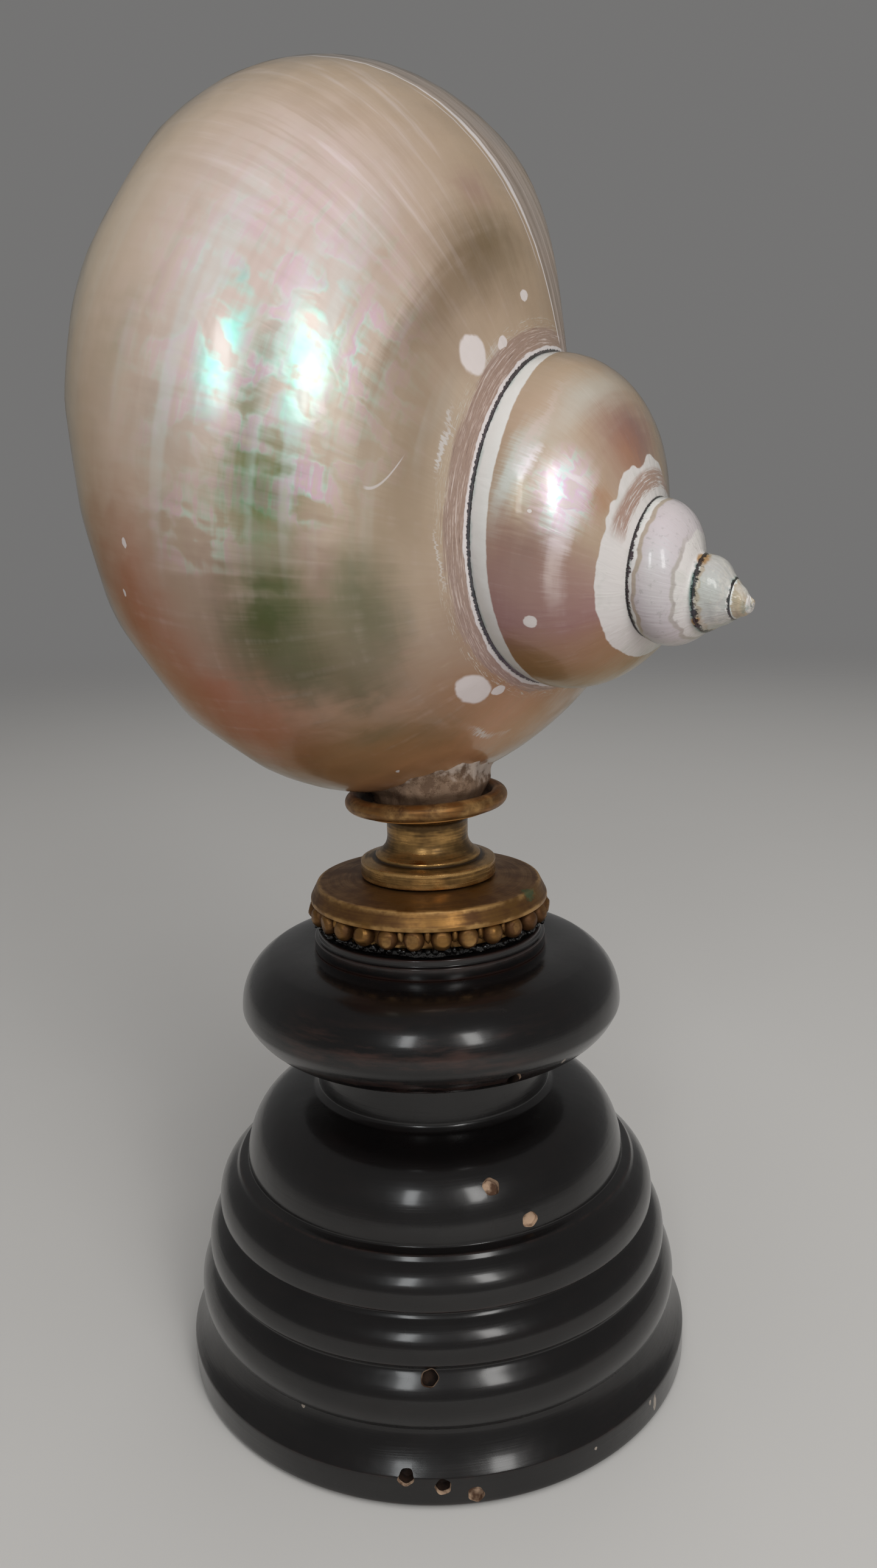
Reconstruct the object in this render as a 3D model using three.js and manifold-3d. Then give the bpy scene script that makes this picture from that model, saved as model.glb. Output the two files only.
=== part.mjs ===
// A polished turbo shell held in a brass cup on a turned black wooden stand.
// Millimetres, +Z up, origin at the centre of the stand's underside, front toward -Y.

import * as THREE from 'three';
import { mergeVertices } from 'three/addons/utils/BufferGeometryUtils.js';
import Module from 'manifold-3d';

const wasm = await Module();
wasm.setup();

const DEG = Math.PI / 180;
const TURN = 2 * Math.PI;

// Gap kept between pieces that bear on each other
const CONTACT_GAP = 0.3;

// Turned wooden stand: heights are above its underside
const FOOT_RADIUS = 34.2;
const FOOT_CHAMFER = 0.7;
const FOOT_SIDE_TOP = 4.2;
const FOOT_HOLLOW = -0.1;
const RING_EDGES = [
  { radius: 32.3, height: 9.3, nextRadius: 30.9, nextHeight: 15.3 },
  { radius: 31.3, height: 16.7, nextRadius: 29.0, nextHeight: 21.2 },
  { radius: 29.6, height: 22.4, nextRadius: 27.2, nextHeight: 27.4 },
];
const RING_BOW = 0.32;
const GROOVE_DEPTH = 0.35;
const GROOVE_HEIGHT = 0.6;
const DOME_RADIUS = 25.6;
const DOME_BOTTOM = 29.4;
const DOME_SIDE = 1.1;
const DOME_TOP = 37.8;
const DOME_BOW = 0.4;
const NECK_RADIUS = 15.6;
const NECK_FILLET = 0.7;
const BUN_BOTTOM = 44.6;
const BUN_LEDGE = 3.6;
const BUN_RADIUS = 25.2;
const BUN_WIDEST = 49.9;
const BUN_SHOULDER_RADIUS = 21.4;
const BUN_SHOULDER = 56.6;
const BUN_BOW = 0.29;
const SHOULDER_BOW = 0.12;
const COLLAR_BOTTOM = 57.3;
const COLLAR_RADIUS = 15.3;
const COLLAR_HEIGHT = 1.7;
const COLLAR_STEP = 0.5;
const WOOD_TOP = 59.9;
const WOOD_SIDES = 28;

// Flight holes of wood beetles: turn from the front toward +X, place, slope and depth of each bore
const BORE_RADIUS = 0.95;
const BORE_SIDES = 7;
const BORE_OVERRUN = 1.5;
const BORES = [
  { turn: 24, height: 47.4, radius: 23.9, rise: -30, depth: 3.0 },
  { turn: 16.6, height: 34.1, radius: 23.5, rise: 45, depth: 0.6 },
  { turn: 26.5, height: 29.9, radius: 25.5, rise: 8, depth: 0.6 },
  { turn: -1.8, height: 15.0, radius: 31.0, rise: 36, depth: 1.6 },
  { turn: -6.7, height: 4.2, radius: 34.2, rise: 4, depth: 1.8 },
  { turn: 0.5, height: 3.2, radius: 34.2, rise: 0, depth: 1.8 },
  { turn: 6.9, height: 1.9, radius: 34.2, rise: 0, depth: 0.7 },
];

// Pitch bed between the wood and the beaded disc
const PITCH_RADIUS = 14.8;
const PITCH_BOTTOM = WOOD_TOP + CONTACT_GAP;
const PITCH_TOP = 60.9;
const PITCH_RAGGEDNESS = 0.012;

// Beaded brass disc
const DISC_UNDERSIDE = PITCH_TOP + CONTACT_GAP;
const DISC_CORE_RADIUS = 14.2;
const BEVEL_RADIUS = 15.6;
const BEVEL_BOTTOM = 63.7;
const BEVEL_SIDE = 0.5;
const RIM_RADIUS = 14.65;
const RIM_HEIGHT = 66.1;
const DISC_TOP = 66.6;
const BEAD_COUNT = 28;
const BEAD_RADIUS = 1.32;
const BEAD_RING_RADIUS = 14.75;
const BEAD_HEIGHT = DISC_UNDERSIDE + BEAD_RADIUS;
const BEAD_PHASE = 5.9;

// Waisted brass spool
const SPOOL_BOTTOM = DISC_TOP + CONTACT_GAP;
const SPOOL_FOOT_RADIUS = 8.85;
const SPOOL_FOOT_TOP = 68.9;
const FLARE_RADIUS = 6.9;
const FLARE_HEIGHT = 69.7;
const FLARE_EDGE = 0.45;
const WAIST_RADIUS = 5.3;
const WAIST_BOTTOM = 72.6;
const WAIST_TOP = 74.1;
const WAIST_BOW = -0.35;
const SPOOL_HEAD_RADIUS = 6.0;
const SPOOL_TOP = 74.8;

// Brass cup with a rolled rim, which leans a little on its spool
const CUP_LEAN = 2;
const CUP_BOTTOM = SPOOL_TOP + 1.5 * CONTACT_GAP;
const CUP_BASE_RADIUS = 6.5;
const CUP_LIP_RADIUS = 8.7;
const CUP_LIP_HEIGHT = 0.5;
const ROLL_CENTRE_RADIUS = 9.5;
const ROLL_RADIUS = 1.1;
const ROLL_HEIGHT = 1.75;
const ROLL_FROM = -110;
const ROLL_TO = 150;
const CUP_FLOOR = 1.0;
const CUP_MOUTH_RADIUS = 8.2;
const CUP_FLOOR_RADIUS = 7.25;

// Cement that beds the shell in the cup
const CEMENT_BOTTOM = CUP_BOTTOM + CUP_FLOOR + 1.5 * CONTACT_GAP;
const CEMENT_FOOT_RADIUS = 6.8;
const CEMENT_RADIUS = 8.5;
const CEMENT_SHOULDER = CEMENT_BOTTOM + 2.5;
const CEMENT_TOP = 84;
const CEMENT_LUMPS = 0.03;
const CEMENT_SIDES = 32;

// Shell: a logarithmic spiral around an axis that starts at the apex and runs down through the whorls
const APEX = new THREE.Vector3(35.6, -22.3, 102.1);
const AXIS_AZIMUTH = -36.2;
const AXIS_DIP = -12.9;
const WHORL_RATIO = 2.28;
const LIP_TURN = 100;
const WHORL_COUNT = 5;
const FINE_WHORL_COUNT = 2;

// Outline of the whorls' tube where the last whorl faces the front, as distances down and off the axis
const SECTION_DEPTH = 51.5;
const SECTION_OFFSET = 9.9;
const SECTION_LONG = 34.0;
const SECTION_SHORT = 28.5;
const SECTION_TILT = 36;
const SECTION_LOBES = -0.1;
const AXIS_SLOPE = 0.012;
const INNER_ROUNDING = 16;

// Wear of the spire: sizes are growth sizes, which are 1 where the last whorl faces the front
const SPIRE_WEAR = 0.11;
const SPIRE_WEAR_SIZE = 0.27;
const SPIRE_WEAR_REACH = 0.5;
const TIP_WEAR = 0.04;
const TIP_WEAR_SIZE = 0.2;
const TIP_STRETCH = 1.2;
const TIP_STRETCH_SIZE = 0.09;

// Mouth: the hollow tapers inward along the last whorl, and leaves a pillar along the axis
const WALL = 2.6;
const MOUTH_TURN = 190;
const MOUTH_TAPER_TURN = 70;
const HOLLOW_START_TURN = 10;
const HOLLOW_OVERRUN_TURN = 4;
const HOLLOW_LEAST_SWELL = 0.2;
const PILLAR_SLOPE = 0.085;
const COLUMELLA_SLOPE = 0.045;
const COLUMELLA_START = 0.6;

// Facets of the shell and of the turned metal
const FINE_SIDES = 28;
const FINE_STEPS = 13;
const COARSE_SIDES = 20;
const COARSE_STEPS = 9;
const CURVE_STEPS = 3;
const TURNED_SIDES = 24;

/** A closed solid from places and faces that point out. */
function meshSolid(places, faces) {
  return new wasm.Manifold(new wasm.Mesh({
    numProp: 3,
    vertProperties: new Float32Array(places),
    triVerts: new Uint32Array(faces),
  }));
}

/** A closed solid from a geometry whose faces point out. */
function toSolid(geometry) {
  geometry.deleteAttribute('normal');
  geometry.deleteAttribute('uv');
  const merged = mergeVertices(geometry, 1e-4);
  const index = merged.index.array;
  const faces = [];
  for (let i = 0; i < index.length; i += 3) {
    const [a, b, c] = [index[i], index[i + 1], index[i + 2]];
    if (a !== b && b !== c && c !== a) faces.push(a, b, c);
  }
  return meshSolid(merged.attributes.position.array, faces);
}

/** A geometry holding the faces of a solid. */
function toGeometry(solid) {
  const mesh = solid.getMesh();
  const geometry = new THREE.BufferGeometry();
  geometry.setAttribute('position', new THREE.BufferAttribute(new Float32Array(mesh.vertProperties), 3));
  geometry.setIndex(new THREE.BufferAttribute(new Uint32Array(mesh.triVerts), 1));
  geometry.computeVertexNormals();
  return geometry;
}

/** The body of a solid, without the specks that a cut can leave. */
function largest(solid) {
  const parts = solid.decompose();
  return parts.reduce((best, part) => (part.volume() > best.volume() ? part : best));
}

/** Adds a bowed stretch to an outline; a positive bow swells away from the turning axis. */
function bowTo(outline, radius, height, bow) {
  const start = outline.currentPoint;
  const run = new THREE.Vector2(radius - start.x, height - start.y);
  const middle = new THREE.Vector2((radius + start.x) / 2, (height + start.y) / 2);
  outline.quadraticCurveTo(middle.x + run.y * bow, middle.y - run.x * bow, radius, height);
}

/** A closed geometry turned around +Z from an outline of radius and height. */
function turnedGeometry(outline, sides) {
  const geometry = new THREE.LatheGeometry(outline.getPoints(CURVE_STEPS), sides);
  geometry.rotateX(Math.PI / 2);
  return geometry;
}

/** Moves each vertex in or out from +Z by a factor that depends on its angle and height. */
function swellSides(geometry, factorAt) {
  const place = geometry.attributes.position;
  for (let i = 0; i < place.count; i += 1) {
    const factor = factorAt(Math.atan2(place.getY(i), place.getX(i)), place.getZ(i));
    place.setXY(i, place.getX(i) * factor, place.getY(i) * factor);
  }
}

/** Turned wooden stand: foot, three stepped rings, dome, neck, bun and collar. */
function standGeometry() {
  const outline = new THREE.Path();
  outline.moveTo(0, 0);
  outline.lineTo(FOOT_RADIUS - FOOT_CHAMFER, 0);
  outline.lineTo(FOOT_RADIUS, FOOT_CHAMFER);
  outline.lineTo(FOOT_RADIUS, FOOT_SIDE_TOP);
  const [lowest] = RING_EDGES;
  bowTo(outline, lowest.radius - 2 * GROOVE_DEPTH, lowest.height - GROOVE_HEIGHT, FOOT_HOLLOW);
  for (const ring of RING_EDGES) {
    outline.lineTo(ring.radius, ring.height);
    bowTo(outline, ring.nextRadius, ring.nextHeight, RING_BOW);
    outline.lineTo(ring.nextRadius - GROOVE_DEPTH, ring.nextHeight + GROOVE_HEIGHT);
  }
  outline.lineTo(DOME_RADIUS, DOME_BOTTOM - DOME_SIDE);
  outline.lineTo(DOME_RADIUS, DOME_BOTTOM);
  bowTo(outline, NECK_RADIUS + NECK_FILLET, DOME_TOP, DOME_BOW);
  outline.lineTo(NECK_RADIUS, DOME_TOP + NECK_FILLET);
  outline.lineTo(NECK_RADIUS, BUN_BOTTOM);
  outline.lineTo(NECK_RADIUS + BUN_LEDGE, BUN_BOTTOM + GROOVE_HEIGHT);
  bowTo(outline, BUN_RADIUS, BUN_WIDEST, BUN_BOW);
  bowTo(outline, BUN_SHOULDER_RADIUS, BUN_SHOULDER, BUN_BOW);
  bowTo(outline, COLLAR_RADIUS - COLLAR_STEP, COLLAR_BOTTOM, SHOULDER_BOW);
  outline.lineTo(COLLAR_RADIUS, COLLAR_BOTTOM);
  outline.lineTo(COLLAR_RADIUS, COLLAR_BOTTOM + COLLAR_HEIGHT);
  outline.lineTo(COLLAR_RADIUS - COLLAR_STEP, COLLAR_BOTTOM + COLLAR_HEIGHT);
  outline.lineTo(COLLAR_RADIUS - COLLAR_STEP, WOOD_TOP);
  outline.lineTo(0, WOOD_TOP);
  let stand = toSolid(turnedGeometry(outline, WOOD_SIDES));
  for (const bore of BORES) {
    stand = stand.subtract(toSolid(boreGeometry(bore)));
  }
  return toGeometry(stand);
}

/** A short round bore that enters the stand's side square to the wood's surface. */
function boreGeometry({ turn, height, radius, rise, depth }) {
  const bore = new THREE.CylinderGeometry(BORE_RADIUS, BORE_RADIUS, depth + BORE_OVERRUN, BORE_SIDES);
  bore.rotateZ(Math.PI / 2);
  bore.translate((BORE_OVERRUN - depth) / 2, 0, 0);
  bore.rotateY(-rise * DEG);
  bore.translate(radius, 0, height);
  bore.rotateZ((turn - 90) * DEG);
  return bore;
}

/** Thin bed of pitch with a ragged edge. */
function pitchGeometry() {
  const outline = new THREE.Path();
  outline.moveTo(0, PITCH_BOTTOM);
  outline.lineTo(PITCH_RADIUS, PITCH_BOTTOM);
  outline.lineTo(PITCH_RADIUS, PITCH_TOP);
  outline.lineTo(0, PITCH_TOP);
  const geometry = turnedGeometry(outline, BEAD_COUNT);
  swellSides(geometry, (angle) => 1 - PITCH_RAGGEDNESS * (2 + Math.sin(9 * angle) + Math.sin(5 * angle)));
  return toGeometry(toSolid(geometry));
}

/** Brass disc with a bevelled rim and a ring of beads grown from its underside. */
function discGeometry() {
  const outline = new THREE.Path();
  outline.moveTo(0, DISC_UNDERSIDE);
  outline.lineTo(DISC_CORE_RADIUS, DISC_UNDERSIDE);
  outline.lineTo(DISC_CORE_RADIUS, BEVEL_BOTTOM);
  outline.lineTo(BEVEL_RADIUS, BEVEL_BOTTOM);
  outline.lineTo(BEVEL_RADIUS, BEVEL_BOTTOM + BEVEL_SIDE);
  outline.lineTo(RIM_RADIUS, RIM_HEIGHT);
  outline.lineTo(SPOOL_FOOT_RADIUS, DISC_TOP);
  outline.lineTo(0, DISC_TOP);
  let disc = toSolid(turnedGeometry(outline, BEAD_COUNT));
  for (let i = 0; i < BEAD_COUNT; i += 1) {
    const bead = new THREE.SphereGeometry(BEAD_RADIUS, 6, 3);
    bead.rotateX(Math.PI / 2);
    bead.translate(BEAD_RING_RADIUS, 0, BEAD_HEIGHT);
    bead.rotateZ((BEAD_PHASE + 360 * i / BEAD_COUNT - 90) * DEG);
    disc = disc.add(toSolid(bead));
  }
  return toGeometry(disc);
}

/** Waisted brass spool on a low stepped foot. */
function spoolGeometry() {
  const outline = new THREE.Path();
  outline.moveTo(0, SPOOL_BOTTOM);
  outline.lineTo(SPOOL_FOOT_RADIUS, SPOOL_BOTTOM);
  outline.lineTo(SPOOL_FOOT_RADIUS, SPOOL_FOOT_TOP);
  outline.lineTo(FLARE_RADIUS, FLARE_HEIGHT - FLARE_EDGE);
  outline.lineTo(FLARE_RADIUS, FLARE_HEIGHT);
  bowTo(outline, WAIST_RADIUS, WAIST_BOTTOM, WAIST_BOW);
  outline.lineTo(WAIST_RADIUS, WAIST_TOP);
  bowTo(outline, SPOOL_HEAD_RADIUS, SPOOL_TOP, WAIST_BOW);
  outline.lineTo(0, SPOOL_TOP);
  return toGeometry(toSolid(turnedGeometry(outline, TURNED_SIDES)));
}

/** Brass cup with a thin lip under a rolled rim; its own zero is the centre of its underside. */
function cupGeometry() {
  const outline = new THREE.Path();
  outline.moveTo(0, 0);
  outline.lineTo(CUP_BASE_RADIUS, 0);
  outline.lineTo(CUP_LIP_RADIUS, CUP_LIP_HEIGHT / 2);
  outline.lineTo(CUP_LIP_RADIUS, CUP_LIP_HEIGHT);
  outline.absarc(ROLL_CENTRE_RADIUS, ROLL_HEIGHT, ROLL_RADIUS, ROLL_FROM * DEG, ROLL_TO * DEG, false);
  outline.lineTo(CUP_MOUTH_RADIUS, ROLL_HEIGHT);
  outline.lineTo(CUP_FLOOR_RADIUS, CUP_FLOOR);
  outline.lineTo(0, CUP_FLOOR);
  return toGeometry(toSolid(turnedGeometry(outline, TURNED_SIDES)));
}

/** Size of the shell at a turn angle, against the front of its last whorl. */
function growth(turn) {
  return WHORL_RATIO ** (turn / TURN);
}

/** Distance down the axis at a growth size: the worn tip stands a little proud of the spiral. */
function depthAt(down, size) {
  return size * down - TIP_STRETCH * Math.exp(-size / TIP_STRETCH_SIZE);
}

/** Share of its full thickness that a whorl's tube keeps: the spire is worn slimmer by polishing. */
function wornSwell(turn) {
  const size = growth(turn);
  const spire = Math.exp(-((Math.log(size / SPIRE_WEAR_SIZE) / SPIRE_WEAR_REACH) ** 2));
  return 1 - SPIRE_WEAR * spire - TIP_WEAR * Math.exp(-size / TIP_WEAR_SIZE);
}

/** The larger of two lengths, with the change from one to the other rounded over. */
function roundedMax(a, b, rounding) {
  const near = Math.max(rounding - Math.abs(a - b), 0);
  return Math.max(a, b) + near * near / (4 * rounding);
}

/** Outline of the whorls' tube at size 1, as distances down and off the axis. */
function sectionOutline(sides, swell, slope) {
  const [cos, sin] = [Math.cos(SECTION_TILT * DEG), Math.sin(SECTION_TILT * DEG)];
  const outline = [];
  for (let j = 0; j < sides; j += 1) {
    const around = TURN * j / sides;
    const lobe = swell * (1 + SECTION_LOBES * Math.cos(3 * around));
    const long = lobe * SECTION_LONG * Math.cos(around);
    const short = lobe * SECTION_SHORT * Math.sin(around);
    const down = SECTION_DEPTH + long * cos - short * sin;
    const off = SECTION_OFFSET + long * sin + short * cos;
    outline.push(new THREE.Vector2(down, roundedMax(off, slope * down, INNER_ROUNDING)));
  }
  return outline;
}

/** A stretch of the whorls' tube, closed at both ends, in the shell's own frame with the apex at zero. */
function tubeSolid({ from, to, steps, sides, slope, swellAt }) {
  const places = [];
  const faces = [];
  let outline = [];
  for (let i = 0; i <= steps; i += 1) {
    const turn = from + (to - from) * i / steps;
    const size = growth(turn);
    outline = sectionOutline(sides, swellAt(turn), slope);
    for (const { x: down, y: off } of outline) {
      places.push(size * off * Math.cos(turn), size * off * Math.sin(turn), depthAt(down, size));
    }
  }
  for (let i = 0; i < steps; i += 1) {
    for (let j = 0; j < sides; j += 1) {
      const next = (j + 1) % sides;
      const [a, b, c, d] = [i * sides + j, i * sides + next, (i + 1) * sides + next, (i + 1) * sides + j];
      faces.push(a, b, d, b, c, d);
    }
  }
  const last = steps * sides;
  for (const [a, b, c] of THREE.ShapeUtils.triangulateShape(outline, [])) {
    faces.push(a, c, b, last + a, last + b, last + c);
  }
  return meshSolid(places, faces);
}

/** Pillar of shell along the axis, which the whorls grow around. */
function columellaSolid() {
  const end = growth(LIP_TURN * DEG - TURN / 2) * (SECTION_DEPTH + SECTION_LONG / 2);
  const outline = new THREE.Path();
  outline.moveTo(0, COLUMELLA_START);
  outline.lineTo(COLUMELLA_SLOPE * COLUMELLA_START, COLUMELLA_START);
  outline.lineTo(COLUMELLA_SLOPE * end / 2, end / 2);
  outline.lineTo(0, end);
  return toSolid(turnedGeometry(outline, 10));
}

/** The shell: older whorls, the last whorl with its open mouth, and the columella. */
function shellSolid() {
  const lip = LIP_TURN * DEG;
  const inner = lip - MOUTH_TURN * DEG;
  const hollowStart = inner + HOLLOW_START_TURN * DEG;
  let whorls = columellaSolid();
  for (let half = 0; half < 2 * WHORL_COUNT - 1; half += 1) {
    const fine = half < 2 * FINE_WHORL_COUNT;
    whorls = whorls.add(tubeSolid({
      from: inner - TURN * (half + 1) / 2,
      to: inner - TURN * half / 2,
      steps: fine ? FINE_STEPS : COARSE_STEPS,
      sides: fine ? FINE_SIDES : COARSE_SIDES,
      slope: AXIS_SLOPE,
      swellAt: wornSwell,
    }));
  }
  const last = tubeSolid({
    from: inner, to: lip, steps: FINE_STEPS + 2, sides: FINE_SIDES, slope: AXIS_SLOPE, swellAt: wornSwell,
  });
  const hollow = tubeSolid({
    from: hollowStart,
    to: lip + HOLLOW_OVERRUN_TURN * DEG,
    steps: COARSE_STEPS + 2,
    sides: COARSE_SIDES,
    slope: PILLAR_SLOPE,
    swellAt: (turn) => {
      const taper = Math.sqrt((turn - hollowStart) / (MOUTH_TAPER_TURN * DEG));
      const inside = 1 - WALL / (growth(turn) * SECTION_SHORT);
      return inside * Math.min(1, Math.max(taper, HOLLOW_LEAST_SWELL));
    },
  });
  return largest(whorls.add(last.subtract(hollow)));
}

/** Turns the shell's own frame, with the apex at zero, to its pose on the stand. */
function shellPose() {
  const axis = new THREE.Vector3(
    Math.cos(AXIS_DIP * DEG) * Math.cos(AXIS_AZIMUTH * DEG),
    Math.cos(AXIS_DIP * DEG) * Math.sin(AXIS_AZIMUTH * DEG),
    Math.sin(AXIS_DIP * DEG),
  );
  const front = new THREE.Vector3(0, -1, 0);
  front.addScaledVector(axis, -front.dot(axis)).normalize();
  const up = new THREE.Vector3().crossVectors(front, axis);
  return new THREE.Matrix4().makeBasis(front, up, axis.clone().negate()).setPosition(APEX);
}

/** Cement lump between the cup and the shell, hollowed by the shell that sits in it. */
function cementGeometry(pose) {
  const outline = new THREE.Path();
  outline.moveTo(0, CEMENT_BOTTOM);
  outline.lineTo(CEMENT_FOOT_RADIUS, CEMENT_BOTTOM);
  outline.lineTo((CEMENT_FOOT_RADIUS + CEMENT_RADIUS) / 2, (CEMENT_BOTTOM + CEMENT_SHOULDER) / 2);
  outline.lineTo(CEMENT_RADIUS, CEMENT_SHOULDER);
  outline.lineTo(CEMENT_RADIUS, CEMENT_TOP);
  outline.lineTo(0, CEMENT_TOP);
  const lump = turnedGeometry(outline, CEMENT_SIDES);
  swellSides(lump, (angle, height) => {
    const lumps = CEMENT_LUMPS * (Math.sin(3 * angle) + Math.sin(7 * angle + 1));
    return height < CEMENT_SHOULDER ? 1 : 1 + lumps;
  });
  const clearance = 1 + 1.3 * CONTACT_GAP / (growth(-TURN / 4) * SECTION_SHORT);
  const seat = tubeSolid({
    from: -TURN / 2, to: 0, steps: 20, sides: 36, slope: AXIS_SLOPE, swellAt: () => clearance,
  });
  return toGeometry(largest(toSolid(lump).subtract(seat.transform(pose.elements))));
}

/** A standard material with its finish. */
function finish(color, roughness, metalness) {
  return new THREE.MeshStandardMaterial({ color, roughness, metalness });
}

/** A named piece. */
function piece(name, geometry, material) {
  const mesh = new THREE.Mesh(geometry, material);
  mesh.name = name;
  return mesh;
}

const object = new THREE.Group();

object.add(piece('wooden_stand', standGeometry(), finish(0x14110f, 0.28, 0)));
object.add(piece('pitch_bed', pitchGeometry(), finish(0x0b0a0a, 0.15, 0)));
object.add(piece('beaded_disc', discGeometry(), finish(0x9a7434, 0.38, 1)));
object.add(piece('brass_spool', spoolGeometry(), finish(0xa37c3a, 0.3, 1)));

const cup = piece('brass_cup', cupGeometry(), finish(0x7d5c2a, 0.4, 1));
cup.position.set(0, 0, CUP_BOTTOM);
cup.rotation.set(0, -CUP_LEAN * DEG, 0);
object.add(cup);

const pose = shellPose();
object.add(piece('cement_bed', cementGeometry(pose), finish(0xb9aba0, 0.85, 0)));

const shell = piece('turbo_shell', toGeometry(shellSolid()), finish(0xc9b49f, 0.22, 0));
shell.applyMatrix4(pose);
object.add(shell);

export default object;
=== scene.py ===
"""A polished turbo shell, bedded with cement in a brass cup, on a turned black wooden stand.

Sizes are in millimetres in every dataclass and become metres in the meshes. +Z is up and the front
faces -Y. A turn is the angle that the shell has grown through, in degrees: 0 where the last whorl
faces the front, and 360 less for each older whorl.
"""

import logging
import math
from dataclasses import dataclass
from enum import Enum
from functools import cache

import bpy
import numpy as np
from mathutils import Matrix, Vector


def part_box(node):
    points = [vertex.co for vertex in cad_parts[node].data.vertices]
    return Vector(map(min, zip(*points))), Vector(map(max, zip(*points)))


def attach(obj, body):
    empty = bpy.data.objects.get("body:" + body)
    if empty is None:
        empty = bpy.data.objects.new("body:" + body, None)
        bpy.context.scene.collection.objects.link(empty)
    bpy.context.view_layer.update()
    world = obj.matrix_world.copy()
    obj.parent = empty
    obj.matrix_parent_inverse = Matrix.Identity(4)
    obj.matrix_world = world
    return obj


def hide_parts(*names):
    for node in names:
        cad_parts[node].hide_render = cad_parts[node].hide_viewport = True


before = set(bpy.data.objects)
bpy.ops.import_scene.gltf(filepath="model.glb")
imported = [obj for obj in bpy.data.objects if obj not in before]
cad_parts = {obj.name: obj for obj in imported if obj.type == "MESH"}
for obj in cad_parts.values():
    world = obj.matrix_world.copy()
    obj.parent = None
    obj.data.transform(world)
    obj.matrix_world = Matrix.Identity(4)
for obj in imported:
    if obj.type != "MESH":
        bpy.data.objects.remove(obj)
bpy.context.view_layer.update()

MM = 0.001
LOG = logging.getLogger("shell_on_stand")


class Slot(Enum):
    """Names of the material slots."""

    WOOD = "ebonised_wood"
    PITCH = "black_pitch"
    BRASS = "aged_brass"
    CEMENT = "pale_cement"
    NACRE = "nacre"


class Pearl(Enum):
    """Colours of the nacre, of the porcelain layer above it, and of the highlights, reflections and shade painted on
    it, as screen colours.
    """

    CHAMPAGNE = "#b59f88"
    CREAM = "#c4b29c"
    FAWN = "#a08870"
    PETAL = "#d2c0bb"
    PEARL = "#eee4e8"
    ROSE = "#c4a8a2"
    ROSEWOOD = "#926e66"
    LILAC = "#c0b8b9"
    SALMON = "#8e4c19"
    AMBER = "#a5734a"
    UMBER = "#b0805c"
    TAN = "#94724e"
    MAUVE = "#7d5c58"
    OLIVE = "#75634a"
    MOSS = "#484a1a"
    LEAF = "#5a6a30"
    SLATE = "#676346"
    AQUA = "#aaeddd"
    ICE = "#d0e0de"
    ORCHID = "#dcb4d2"
    WHITE = "#cec9c5"
    PORCELAIN = "#cdc4c0"
    CHALK = "#b0afaa"
    BONE = "#b09f86"
    OCHRE = "#9a7440"
    SEAM = "#17191b"
    VERDIGRIS = "#3f6a62"


def linear(code: str) -> tuple[float, float, float]:
    """Turns a screen colour into scene-linear red, green and blue.

    Args:
        code: The colour as # and six hexadecimal digits.

    Returns:
        The three linear values.
    """
    screen = [int(code[i:i + 2], 16) / 255 for i in (1, 3, 5)]
    return tuple(v / 12.92 if v <= 0.04045 else ((v + 0.055) / 1.055) ** 2.4 for v in screen)


# Outlines, grids and meshes


@dataclass
class Surface:
    """Points, faces and a few values at each point, before they become a mesh."""

    points: np.ndarray
    quads: np.ndarray
    fans: np.ndarray
    marks: dict[str, np.ndarray]

    def joined(self, *others: "Surface") -> "Surface":
        """Puts more surfaces after this one, in one mesh.

        Args:
            others: The surfaces to add. They carry the same marks.

        Returns:
            The joined surface.
        """
        parts = (self, *others)
        starts = np.cumsum([0] + [len(part.points) for part in parts[:-1]])
        return Surface(
            np.concatenate([part.points for part in parts]),
            np.concatenate([part.quads + start for part, start in zip(parts, starts)]),
            np.concatenate([part.fans + start for part, start in zip(parts, starts)]),
            {name: np.concatenate([part.marks[name] for part in parts]) for name in self.marks},
        )

    def to_object(self, name: str) -> bpy.types.Object:
        """Makes the mesh object, smooth shaded, with its marks as point attributes.

        Args:
            name: The piece's name.

        Returns:
            The object, at the origin and linked to the scene.
        """
        mesh = bpy.data.meshes.new(name)
        corners = np.concatenate([self.quads.ravel(), self.fans.ravel()]).astype(np.int32)
        sizes = np.concatenate([np.full(len(self.quads), 4), np.full(len(self.fans), 3)])
        starts = np.concatenate([[0], np.cumsum(sizes)[:-1]]).astype(np.int32)
        mesh.vertices.add(len(self.points))
        mesh.vertices.foreach_set("co", (self.points * MM).astype(np.float32).ravel())
        mesh.loops.add(len(corners))
        mesh.loops.foreach_set("vertex_index", corners)
        mesh.polygons.add(len(sizes))
        mesh.polygons.foreach_set("loop_start", starts)
        mesh.update(calc_edges=True)
        mesh.validate()
        mesh.shade_smooth()
        for label, values in self.marks.items():
            attribute = mesh.attributes.new(label, "FLOAT", "POINT")
            attribute.data.foreach_set("value", values.astype(np.float32).ravel())
        piece = bpy.data.objects.new(name, mesh)
        bpy.context.scene.collection.objects.link(piece)
        return piece


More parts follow.
